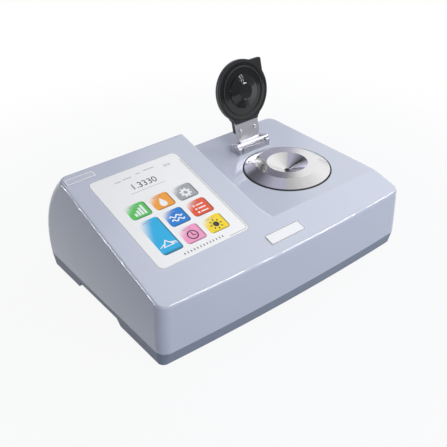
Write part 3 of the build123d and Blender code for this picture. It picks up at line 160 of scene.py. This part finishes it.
tiles = [                   # name, colour, column, row
    ("green", green, column_a, row_1), ("amber", amber, column_b, row_1), ("grey", grey, column_c, row_1),
    ("blue", blue, column_b, row_2), ("red", red, column_c, row_2),
    ("pink", pink, column_b, row_3), ("yellow", yellow, column_c, row_3),
    ("cyan", cyan, column_a, (row_3[0], row_2[1]))]


def mm(value):
    return value / 1000.0


def opaque(colour):
    return (*colour, 1)


# ================================================================ node trees
class Tree:
    """Node tree of a material or a world. Its helpers take outputs of nodes or plain values."""

    def __init__(self, owner):
        owner.use_nodes = True
        self.nodes = owner.node_tree.nodes
        self.links = owner.node_tree.links

    def node(self, kind, **values):
        """New node, with its settings and inputs given by name."""
        made = self.nodes.new(kind)
        for name, value in values.items():
            if hasattr(made, name):
                setattr(made, name, value)
            else:
                made.inputs[name.replace("_", " ")].default_value = value
        return made

    def feed(self, source, socket):
        """Links an output to an input, or gives the input a plain value."""
        if isinstance(source, bpy.types.NodeSocket):
            self.links.new(source, socket)
        else:
            socket.default_value = source

    def maths(self, operation, first, second):
        made = self.node("ShaderNodeMath", operation=operation)
        self.feed(first, made.inputs[0])
        self.feed(second, made.inputs[1])
        return made.outputs["Value"]

    def length(self, vector):
        made = self.node("ShaderNodeVectorMath", operation="LENGTH")
        self.feed(vector, made.inputs[0])
        return made.outputs["Value"]

    def ranged(self, factor, start=(0.0, 1.0), end=(0.0, 1.0), kind="LINEAR"):
        """Maps one range of a factor to another."""
        made = self.node("ShaderNodeMapRange", interpolation_type=kind,
                         From_Min=start[0], From_Max=start[1], To_Min=end[0], To_Max=end[1])
        self.feed(factor, made.inputs["Value"])
        return made.outputs["Result"]

    def ramp(self, factor, stops):
        """Colours over a 0 to 1 factor, each stop as (position, colour)."""
        made = self.node("ShaderNodeValToRGB")
        elements = made.color_ramp.elements
        for i in (0, -1):
            elements[i].position = stops[i][0]
            elements[i].color = opaque(stops[i][1])
        for position, colour in stops[1:-1]:
            elements.new(position).color = opaque(colour)
        self.feed(factor, made.inputs["Fac"])
        return made.outputs["Color"]

    def mixed(self, factor, first, second, blend="MIX"):
        """Colour between two. A Mix node's sockets share their names, so its colour ones go by number."""
        made = self.node("ShaderNodeMix", data_type="RGBA", blend_type=blend)
        self.feed(factor, made.inputs[0])
        self.feed(first, made.inputs[6])
        self.feed(second, made.inputs[7])
        return made.outputs[2]

    def layered(self, factor, first, second):
        """Shader between two."""
        made = self.node("ShaderNodeMixShader")
        self.feed(factor, made.inputs["Fac"])
        self.feed(first, made.inputs[1])
        self.feed(second, made.inputs[2])
        return made.outputs["Shader"]


class Finish(Tree):
    """Principled material with helpers for its procedural parts."""

    def __init__(self, name, colour, rough, metal=0.0, **sockets):
        self.material = bpy.data.materials.new(name)
        super().__init__(self.material)
        self.main = self.nodes["Principled BSDF"]
        self.colour = colour
        self.rough = rough
        self.main.inputs["Base Color"].default_value = opaque(colour)
        self.main.inputs["Roughness"].default_value = rough
        self.main.inputs["Metallic"].default_value = metal
        for socket, value in sockets.items():
            self.main.inputs[socket.replace("_", " ")].default_value = value
        self.coordinates = self.node("ShaderNodeTexCoord").outputs
        self.place = self.coordinates["Object"]

    def noise(self, scale, detail=3.0, at=None):
        made = self.node("ShaderNodeTexNoise", Scale=scale, Detail=detail)
        self.feed(at or self.place, made.inputs["Vector"])
        return made.outputs["Fac"]

    def mottle(self, factor, amount):
        """Colour drifts lighter and darker with the factor."""
        darker = [c * (1 - amount) for c in self.colour]
        lighter = [min(1, c * (1 + amount)) for c in self.colour]
        self.feed(self.mixed(factor, opaque(darker), opaque(lighter)), self.main.inputs["Base Color"])

    def uneven(self, factor, amount):
        """Roughness drifts with the factor."""
        wide = self.ranged(factor, end=(max(0, self.rough - amount), self.rough + amount))
        self.feed(wide, self.main.inputs["Roughness"])

    def bumpy(self, factor, depth):
        """Fine relief of a depth in metres."""
        bump = self.node("ShaderNodeBump", Strength=1.0, Distance=depth)
        self.feed(factor, bump.inputs["Height"])
        self.feed(bump.outputs["Normal"], self.main.inputs["Normal"])


# ================================================================ materials
def moulded(name, colour, rough, grain=2600.0, depth=8e-6, **sockets):
    """Moulded plastic: a fine grain, and a slow drift of colour and gloss."""
    made = Finish(name, colour, rough, **sockets)
    made.mottle(made.noise(14.0), 0.025)
    made.uneven(made.noise(90.0), 0.05)
    made.bumpy(made.noise(grain, 2.0), depth)
    return made.material


def brushed(name, colour, rough):
    """Metal with fine lines along its X axis."""
    made = Finish(name, colour, rough, 1.0)
    stretched = made.node("ShaderNodeMapping", Scale=(1.0, 60.0, 60.0))
    made.feed(made.place, stretched.inputs["Vector"])
    lines = made.noise(60.0, 4.0, stretched.outputs["Vector"])
    made.mottle(lines, 0.06)
    made.uneven(lines, 0.08)
    made.bumpy(lines, 4e-6)
    return made.material


def plain_metal(name, colour, rough):
    """Plated or anodised metal with a faint cloudiness."""
    made = Finish(name, colour, rough, 1.0)
    cloud = made.noise(120.0)
    made.mottle(cloud, 0.05)
    made.uneven(cloud, 0.06)
    made.bumpy(made.noise(2500.0), 2e-6)
    return made.material


def speckled(name, colour, spot, rough, scale):
    """Board or ceramic with small specks."""
    made = Finish(name, colour, rough)
    cells = made.node("ShaderNodeTexVoronoi", Scale=scale)
    made.feed(made.place, cells.inputs["Vector"])
    from_middle = cells.outputs["Distance"]
    made.feed(made.ramp(from_middle, [(0.12, spot), (0.2, colour)]), made.main.inputs["Base Color"])
    made.bumpy(from_middle, 2e-5)
    return made.material


def clear(name, colour, rough=0.02, through=0.9):
    """Polished glass with a trace of dust."""
    made = Finish(name, colour, rough, Transmission_Weight=through, IOR=1.7)
    made.uneven(made.noise(400.0), 0.02)
    return made.material


def turned_steel():
    """Stainless turned on a lathe: rings about the stage's axis and fine radial polish."""
    made = Finish("stage_steel", (0.80, 0.79, 0.79), 0.13, 1.0)
    low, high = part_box("prism_stage")
    centred = made.node("ShaderNodeMapping", Location=(-(low.x + high.x) / 2, -(low.y + high.y) / 2, 0))
    made.feed(made.place, centred.inputs["Vector"])
    flat = made.node("ShaderNodeVectorMath", operation="MULTIPLY")
    made.feed(centred.outputs["Vector"], flat.inputs[0])
    made.feed((1, 1, 0), flat.inputs[1])
    rings = made.node("ShaderNodeTexNoise", noise_dimensions="1D", Scale=2600.0, Detail=3.0)
    made.feed(made.length(flat.outputs["Vector"]), rings.inputs["W"])
    way = made.node("ShaderNodeVectorMath", operation="NORMALIZE")
    made.feed(flat.outputs["Vector"], way.inputs[0])
    rays = made.noise(34.0, 4.0, way.outputs["Vector"])
    made.mottle(rays, 0.05)
    made.uneven(rays, 0.05)
    made.bumpy(rings.outputs["Fac"], 1.2e-6)
    return made.material


def print_ink(name, colour):
    """Finish of plain print."""
    made = Finish(name, colour, 0.28)
    made.place = made.coordinates["Generated"]
    made.uneven(made.noise(40.0), 0.03)
    return made


def tile_ink(name, colour):
    """Print that is pale at its upper left, and deeper along its right and lower edges."""
    made = print_ink(name, colour)
    split = made.node("ShaderNodeSeparateXYZ")
    made.feed(made.place, split.inputs["Vector"])
    x, y, _ = split.outputs
    light = made.ranged(made.maths("SUBTRACT", y, x), tile_pale, kind="SMOOTHSTEP")
    pale = made.mixed(light, opaque(colour), opaque(pale_corner))
    to_edge = made.maths("MAXIMUM", x, made.maths("SUBTRACT", 1.0, y))
    rim = made.ranged(to_edge, tile_rim, kind="SMOOTHSTEP")
    deep = made.mixed(rim, pale, opaque([c * tile_deep for c in colour]))
    made.feed(deep, made.main.inputs["Base Color"])
    return made.material


def make_materials():
    """One procedural finish for each material slot of the record."""
    return {
        "housing_plastic": moulded("housing_plastic", (0.555, 0.59, 0.70), 0.38,
                                   Coat_Weight=1.0, Coat_Roughness=0.06, Specular_IOR_Level=0.25),
        "base_plastic": moulded("base_plastic", (0.235, 0.28, 0.36), 0.5, 1800.0, 2e-5),
        "rubber": moulded("rubber", (0.014, 0.014, 0.015), 0.7, 1500.0, 2e-5),
        "steel": plain_metal("steel", (0.62, 0.62, 0.64), 0.28),
        "sheet_steel": brushed("sheet_steel", (0.56, 0.57, 0.58), 0.42),
        "overlay_film": moulded("overlay_film", (0.92, 0.92, 0.93), 0.22, 900.0, 2e-6),
        "screen_glass": moulded("screen_glass", (0.8, 0.8, 0.82), 0.08, 500.0, 1e-6),
        "screen_body": moulded("screen_body", (0.015, 0.015, 0.017), 0.5),
        "plate_metal": moulded("plate_metal", (0.86, 0.87, 0.90), 0.25, 1200.0, 2e-6),
        "label_film": moulded("label_film", (0.56, 0.59, 0.70), 0.3, 1200.0, 2e-6),
        "stage_steel": turned_steel(),
        "hinge_steel": plain_metal("hinge_steel", (0.50, 0.50, 0.545), 0.36),
        "pin_steel": plain_metal("pin_steel", (0.85, 0.85, 0.86), 0.07),
        "aluminium": brushed("aluminium", (0.66, 0.67, 0.68), 0.35),
        "black_aluminium": plain_metal("black_aluminium", (0.02, 0.02, 0.022), 0.4),
        "optical_glass": clear("optical_glass", (0.008, 0.009, 0.012), 0.05, 0.1),
        "filter_glass": clear("filter_glass", (0.85, 0.45, 0.1)),
        "ceramic_package": speckled("ceramic_package", (0.78, 0.76, 0.7), (0.6, 0.58, 0.5), 0.4, 900.0),
        "circuit_board": speckled("circuit_board", (0.01, 0.12, 0.04), (0.6, 0.55, 0.3), 0.35, 260.0),
        "brass": plain_metal("brass", (0.72, 0.52, 0.2), 0.25),
        "black_plastic": moulded("black_plastic", (0.016, 0.016, 0.018), 0.42, 1500.0, 2e-5),
        "switch_plastic": moulded("switch_plastic", (0.014, 0.014, 0.016), 0.2),
        "lid_plastic": moulded("lid_plastic", (0.008, 0.0095, 0.0105), 0.34, 1500.0, 1.2e-5),
        "lid_gloss": moulded("lid_gloss", (0.007, 0.008, 0.010), 0.11, 700.0, 1.5e-6),
    }


# ================================================================ outlines, mm
def rounded(x0, x1, y0, y1, radius, steps=8):
    """Outline of a rounded rectangle, counter-clockwise."""
    points = []
    centres = [(x1 - radius, y0 + radius), (x1 - radius, y1 - radius),
               (x0 + radius, y1 - radius), (x0 + radius, y0 + radius)]
    for i, (cx, cy) in enumerate(centres):
        for s in range(steps + 1):
            a = math.radians(-90 + 90 * i + 90 * s / steps)
            points.append((cx + radius * math.cos(a), cy + radius * math.sin(a)))
    return points


def disc(cx, cy, radius, steps=32):
    return [(cx + radius * math.cos(2 * math.pi * i / steps), cy + radius * math.sin(2 * math.pi * i / steps))
            for i in range(steps)]


def bar(p, q, width):
    """Outline of a straight bar between two points."""
    p = Vector(p)
    q = Vector(q)
    along = (q - p).normalized()
    side = Vector((-along.y, along.x)) * width / 2
    return [tuple(p - side), tuple(q - side), tuple(q + side), tuple(p + side)]


def ribbon(points, width):
    """Outline of an open line of a width, through points."""
    left = []
    right = []
    for i, point in enumerate(points):
        before = Vector(points[max(i - 1, 0)])
        after = Vector(points[min(i + 1, len(points) - 1)])
        along = (after - before).normalized()
        side = Vector((-along.y, along.x)) * width / 2
        left.append(tuple(Vector(point) + side))
        right.append(tuple(Vector(point) - side))
    return right + left[::-1]


def wave(x0, x1, y, height, width, steps=40):
    """Outline of a ribbon in two waves."""
    return ribbon([(x0 + (x1 - x0) * i / steps, y + height * math.sin(4 * math.pi * i / steps))
                   for i in range(steps + 1)], width)


# ================================================================ signs, each a list of shapes
# A shape is a list of one outline, or of two, and then the second is a hole in the first.
def ring(cx, cy, outer, inner):
    """Shape of a flat ring."""
    return [disc(cx, cy, outer), disc(cx, cy, inner)]


def spokes(x, y, start, first, last, width, count=8):
    """Bars that stand round a point, between two radii. The first stands at an angle in degrees."""
    shapes = []
    for i in range(count):
        turn = math.radians(start + 360 / count * i)
        way = Vector((math.cos(turn), math.sin(turn)))
        shapes.append([bar(Vector((x, y)) + way * first, Vector((x, y)) + way * last, width)])
    return shapes


def bars_sign(x, y):
    """Four bars, each higher than the last."""
    pitch, climb = 4.0, 3.2
    places = [x - 5.5 + pitch * i for i in range(4)]
    return [[bar((at, y - 6.0), (at, y - 1.0 + climb * i), 2.8)] for i, at in enumerate(places)]


def drop_sign(x, y):
    """Drop: round below, pointed above."""
    radius, steps = 4.6, 24
    turns = [math.radians(150 + 240 * i / steps) for i in range(steps + 1)]
    rim = [(x + radius * math.cos(a), y + radius * math.sin(a)) for a in turns]
    return [[rim + [(x, y + 2.1 * radius)]]]


def gear_sign(x, y):
    return spokes(x, y, 22.5, 5.0, 7.4, 2.6) + [ring(x, y, 5.6, 2.6)]


def wave_sign(x, y):
    """Two wavy lines."""
    pitch = 5.6
    return [[wave(x - 8, x + 8, y + pitch / 2 - pitch * i, 1.7, 1.7)] for i in range(2)]


def list_sign(x, y):
    """Three dots, and a line beside each."""
    pitch = 5.5
    heights = [y + pitch - pitch * i for i in range(3)]
    dots = [[disc(x - 5.5, height, 1.4)] for height in heights]
    lines = [[bar((x - 2.5, height), (x + 7.5, height), 1.8)] for height in heights]
    return dots + lines


def clock_sign(x, y):
    """Clock with two hands."""
    return [ring(x, y, 6.8, 5.3),
            [bar((x, y - 0.6), (x, y + 4.2), 1.3)],
            [bar((x - 0.5, y), (x + 3.2, y - 1.8), 1.3)]]


def sun_sign(x, y):
    return spokes(x, y, 0.0, 5.4, 8.0, 1.5) + [[disc(x, y, 3.8)]]


def prism_sign(x, y):
    """Prism, and a beam that goes in as one and comes out as two."""
    half = 7.5
    rise = half * math.sqrt(3) / 2
    inner = 0.66            # size of the hole
    outline = [(x - half, y - rise / 2), (x + half, y - rise / 2), (x, y + rise * 1.1)]
    hole = [(x + (px - x) * inner, y + (py - y) * inner) for px, py in outline]
    ends = [((-11.0, -2.0), (-4.0, 1.5)), ((4.0, 1.5), (11.0, -0.5)), ((4.0, 0.8), (11.0, -3.0))]
    beams = [[bar((x + x0, y + y0), (x + x1, y + y1), 1.1)] for (x0, y0), (x1, y1) in ends]
    return [[outline, hole]] + beams


# ================================================================ pieces
def linked(name, data):
    """New object in the scene."""
    obj = bpy.data.objects.new(name, data)
    bpy.context.scene.collection.objects.link(obj)
    return obj


def finish_piece(obj, material):
    """Gives a made piece its material, and lets it ride on the instrument."""
    obj.data.materials.append(material)
    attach(obj, "instrument")


def add_print(name, shapes, place, material, lift=0.0):
    """Closed flat piece in the shapes, print_t thick, lifted off the plane of its place."""
    verts = []
    faces = []
    for loops in shapes:
        starts = []
        for loop in loops:
            starts.append(len(verts))
            verts += [(mm(x), mm(y), mm(lift)) for x, y in loop]
            verts += [(mm(x), mm(y), mm(lift + print_t)) for x, y in loop]
        a = starts[0]
        n = len(loops[0])
        if len(loops) == 2:
            b = starts[1]
            for i in range(n):
                j = (i + 1) % n
                faces.append((a + n + i, a + n + j, b + n + j, b + n + i))
                faces.append((a + j, a + i, b + i, b + j))
                faces.append((a + i, a + j, a + n + j, a + n + i))
                faces.append((b + j, b + i, b + n + i, b + n + j))
        else:
            faces.append(tuple(a + n + i for i in range(n)))
            faces.append(tuple(a + n - 1 - i for i in range(n)))
            for i in range(n):
                j = (i + 1) % n
                faces.append((a + i, a + j, a + n + j, a + n + i))
    mesh = bpy.data.meshes.new(name)
    mesh.from_pydata(verts, [], faces)
    mesh.update()
    obj = linked(name, mesh)
    obj.matrix_world = place
    finish_piece(obj, material)


def add_digits(name, text, size, x, y, place, material):
    """Plain number as a flat mesh, centred on a point in mm."""
    curve = bpy.data.curves.new(name, "FONT")
    curve.body = text
    curve.size = mm(size)
    curve.align_x = "CENTER"
    curve.align_y = "CENTER"
    curve.extrude = mm(print_t / 2)
    made = linked(name + "_curve", curve)
    bpy.context.view_layer.update()
    mesh = bpy.data.meshes.new_from_object(made)
    bpy.data.objects.remove(made)
    mesh.name = name
    obj = linked(name, mesh)
    obj.matrix_world = place @ Matrix.Translation((mm(x), mm(y), mm(print_t / 2)))
    finish_piece(obj, material)


def slope_face(node):
    """Matrix at the middle of the outer face of a slab on the slope, and half its sides in mm."""
    turn = math.radians(slope_deg)
    points = [frame["nodes"][node].matrix_world @ v.co for v in frame["nodes"][node].data.vertices]
    spans = []
    for axis in ((1, 0, 0), (0, math.cos(turn), math.sin(turn)), (0, -math.sin(turn), math.cos(turn))):
        along = [Vector(axis).dot(p) for p in points]
        spans.append((min(along), max(along)))
    middle = (sum(spans[0]) / 2, sum(spans[1]) / 2, spans[2][1])
    place = Matrix.Rotation(turn, 4, "X") @ Matrix.Translation(middle)
    half_x, half_y = ((high - low) * 1000 / 2 for low, high in spans[:2])
    return place, half_x, half_y


def make_tiles(place):
    """Printed tiles, each with two plain marks for its caption."""
    for name, colour, (x0, x1), (y0, y1) in tiles:
        outline = rounded(x0, x1, y0, y1, tile_r)
        add_print("tile_" + name, [[outline]], place, tile_ink("print_" + name, colour), print_gap)
        y = y1 - caption_drop
        marks = [[bar((x0 + start, y), (x0 + end, y), caption_w)] for start, end in caption_marks]
        add_print("caption_" + name, marks, place, soft_ink, over_tile)


def make_signs(place):
    """A generic sign on each tile."""
    a, b, c = (sum(column) / 2 for column in (column_a, column_b, column_c))
    one, two, three = (sum(row) / 2 - sign_drop for row in (row_1, row_2, row_3))
    signs = [
        ("bars", white_ink, bars_sign(a, one)),
        ("drop", white_ink, drop_sign(b, one - 2.5)),
        ("gear", white_ink, gear_sign(c, one)),
        ("wave", white_ink, wave_sign(b, two)),
        ("list", white_ink, list_sign(c, two)),
        ("clock", dark_ink, clock_sign(b, three)),
        ("sun", dark_ink, sun_sign(c, three)),
        ("beam", white_ink, prism_sign(a, row_3[0] + prism_up))]
    for name, ink, shapes in signs:
        add_print("sign_" + name, shapes, place, ink, over_tile)


def make_reading(place):
    """A plain reading over its line, and a small one in the corner."""
    add_digits("reading", *reading, place, dark_ink)
    add_digits("reading_small", *reading_small, place, soft_ink)
    add_print("reading_line", [[bar(*reading_line)]], place, soft_ink)


def make_marks(place, half_x, half_y):
    """Plain marks where the real sheet has words, and a painted shade line down its right edge and round its
    lower right corner.
    """
    header = [(x, header_y + header_climb * x, length) for x, length in header_marks]
    add_print("header_marks", [[bar((x, y), (x + length, y), header_w)] for x, y, length in header],
              place, soft_ink)
    x = half_x - edge_inset
    y = edge_inset - half_y
    corner = [(x - edge_r + edge_r * math.cos(a), y + edge_r + edge_r * math.sin(a))
              for a in (-math.pi * i / 16 for i in range(9))]
    line = ribbon([(x, half_y - edge_top)] + corner + [(x - edge_reach, y)], edge_w)
    # painted shade: a dark line where the sheet's recess and gap would shade its right and lower edges
    add_print("sheet_painted_shade", [[line]], place, dark_ink, print_gap)
    ticks = [scale_start + scale_pitch * i for i in range(scale_count)]
    add_print("scale_marks", [[bar((x, scale_span[0]), (x, scale_span[1]), scale_w)] for x in ticks],
              place, dark_ink)


def make_screen():
    """All print on the front sheet but the painted highlight round its border, and the painted shade line at
    its right and lower edges.
    """
    place, half_x, half_y = slope_face("display_overlay")
    make_tiles(place)
    make_signs(place)
    make_reading(place)
    make_marks(place, half_x, half_y)


def make_frame_line(name, node, inset, width, corner, ink):
    """Thin line round a plate on the slope: print on the plates, a painted highlight round the front sheet.
    """
    place, half_x, half_y = slope_face(node)
    loops = [rounded(i - half_x, half_x - i, i - half_y, half_y - i, max(corner - i, 0.1))
             for i in (inset, inset + width)]
    add_print(name, [loops], place, ink, print_gap)


def make_serial_face(materials):
    """Dark body and nine gilt contacts inside the shell of the serial socket."""
    low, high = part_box("serial_port")
    turn = Matrix(((-1, 0, 0), (0, 0, 1), (0, 1, 0))).to_4x4()
    place = Matrix.Translation(((low[0] + high[0]) / 2, high[1], (low[2] + high[2]) / 2)) @ turn
    half_x = socket_half_x - socket_rim
    half_y = socket_half_y - socket_rim
    foot = half_x - socket_slant
    body = [(-foot, -half_y), (foot, -half_y), (half_x, half_y), (-half_x, half_y)]
    add_print("serial_body", [[body]], place, materials["black_plastic"], print_gap)
    contacts = [[disc(contact_pitch * (i - (count - 1) / 2), y, contact_r, steps=12)]
                for count, y in ((5, contact_row), (4, -contact_row)) for i in range(count)]
    add_print("serial_contacts", contacts, place, materials["brass"], print_t)


# ================================================================ dressing, light, camera
def dress_nodes(materials):
    """Every CAD node takes the finish of its slot in the record."""
    for part in frame["record"]["subparts"]:
        mesh = frame["nodes"][part["node"]].data
        mesh.materials.clear()
        mesh.materials.append(materials[part["material_slot"]])


def smooth_nodes():
    """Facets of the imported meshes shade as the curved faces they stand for."""
    for obj in frame["nodes"].values():
        for polygon in obj.data.polygons:
            polygon.use_smooth = True
        edges = obj.modifiers.new("edges", "EDGE_SPLIT")
        edges.split_angle = math.radians(smooth_deg)
        normals = obj.modifiers.new("normals", "WEIGHTED_NORMAL")
        normals.keep_sharp = True


def area_light(name, first, last, width, power, highlight, aim):
    """Rectangular softbox along a line, facing a point. It lights diffusely, or it is a highlight only."""
    first = Vector(first)
    last = Vector(last)
    data = bpy.data.lights.new(name, "AREA")
    data.shape = "RECTANGLE"
    data.size = (last - first).length
    data.size_y = width
    data.energy = power
    middle = (first + last) / 2
    along = (last - first).normalized()
    back = middle - aim
    back = (back - along * back.dot(along)).normalized()
    axes = Matrix((along, back.cross(along), back)).transposed().to_4x4()
    obj = linked(name, data)
    obj.matrix_world = Matrix.Translation(middle) @ axes
    obj.visible_glossy = highlight
    obj.visible_diffuse = not highlight


def make_world():
    """White for the camera and glass, a studio's walls for gloss, and soft light for the rest."""
    world = bpy.data.worlds.new("studio")
    bpy.context.scene.world = world
    tree = Tree(world)
    tree.nodes.clear()
    way = tree.node("ShaderNodeSeparateXYZ")
    tree.feed(tree.node("ShaderNodeTexCoord").outputs["Generated"], way.inputs["Vector"])
    x, y, z = way.outputs
    seam = tree.ranged(tree.maths("SUBTRACT", x, y), wall_seam, kind="SMOOTHSTEP")
    dark = tree.ramp(z, [(height, [value * c for c in dark_tint]) for height, value in dark_wall])
    bright = tree.ramp(z, [(height, [value] * 3) for height, value in bright_wall])
    fade = tree.ranged(y, front_fade, (front_share, 1.0), "SMOOTHSTEP")
    walls = tree.mixed(1.0, tree.mixed(seam, dark, bright), fade, "MULTIPLY")
    sky = tree.node("ShaderNodeBackground", Color=opaque(sky_colour), Strength=sky_strength)
    studio = tree.node("ShaderNodeBackground")
    tree.feed(walls, studio.inputs["Color"])
    plain = tree.node("ShaderNodeBackground", Color=(1, 1, 1, 1))
    rays = tree.node("ShaderNodeLightPath").outputs
    seen = tree.maths("MAXIMUM", rays["Is Camera Ray"], rays["Is Transmission Ray"])
    lit = tree.layered(rays["Is Glossy Ray"], sky.outputs["Background"], studio.outputs["Background"])
    shown = tree.layered(seen, lit, plain.outputs["Background"])
    tree.feed(shown, tree.node("ShaderNodeOutputWorld").inputs["Surface"])


def make_floor():
    """Pale floor that keeps the shadow and fades into the white background."""
    mesh = bpy.data.meshes.new("floor")
    h = floor_half
    mesh.from_pydata([(-h, -h, 0), (h, -h, 0), (h, h, 0), (-h, h, 0)], [], [(0, 1, 2, 3)])
    floor = linked("floor", mesh)
    made = Finish("floor", floor_colour, 0.8)
    made.mottle(made.noise(3.0), 0.01)
    white = made.ranged(made.length(made.place), (floor_seen, floor_gone), (floor_white, 1.0), "SMOOTHSTEP")
    rays = made.node("ShaderNodeLightPath").outputs
    seen = made.maths("MAXIMUM", rays["Is Camera Ray"], rays["Is Glossy Ray"])
    seen = made.maths("MAXIMUM", seen, rays["Is Transmission Ray"])
    share = made.maths("MULTIPLY", white, seen)
    glow = made.node("ShaderNodeEmission")
    shown = made.layered(share, made.main.outputs["BSDF"], glow.outputs["Emission"])
    made.feed(shown, made.nodes["Material Output"].inputs["Surface"])
    mesh.materials.append(made.material)


def make_camera():
    """Camera at the photograph's place, solved from its perspective."""
    data = bpy.data.cameras.new("camera")
    data.sensor_width = camera_sensor
    data.lens = camera_lens
    yaw = math.radians(camera_yaw)
    pitch = math.radians(camera_pitch)
    roll = math.radians(camera_roll)
    forward = Vector((math.sin(yaw) * math.cos(pitch), math.cos(yaw) * math.cos(pitch), -math.sin(pitch)))
    right = Vector((math.cos(yaw), -math.sin(yaw), 0))
    up = right.cross(forward)
    turned_right = right * math.cos(roll) + up * math.sin(roll)
    turned_up = up * math.cos(roll) - right * math.sin(roll)
    axes = Matrix((turned_right, turned_up, -forward)).transposed().to_4x4()
    camera = linked("camera", data)
    camera.matrix_world = Matrix.Translation(camera_at) @ axes
    bpy.context.scene.camera = camera


white_ink = print_ink("white_ink", (0.90, 0.91, 0.92)).material
dark_ink = print_ink("dark_ink", (0.02, 0.022, 0.03)).material
soft_ink = print_ink("soft_ink", (0.33, 0.34, 0.37)).material

materials = make_materials()
dress_nodes(materials)
smooth_nodes()
make_screen()
make_serial_face(materials)
make_frame_line("front_plate_line", "front_plate", 0.45, 0.5, 1.8, dark_ink)
make_frame_line("rear_plate_line", "rear_plate", 0.5, 0.9, 1.8, white_ink)
# painted highlight: a white line round the front sheet, where its bevelled edge would catch the light
make_frame_line("sheet_painted_highlight", "display_overlay", 0.5, 1.5, sheet_r, white_ink)
make_world()
make_floor()
middle = (cad_box[0] + cad_box[1]) / 2
for lamp in lamps:
    area_light(*lamp, middle)
make_camera()
bpy.context.scene.view_settings.view_transform = "Standard"
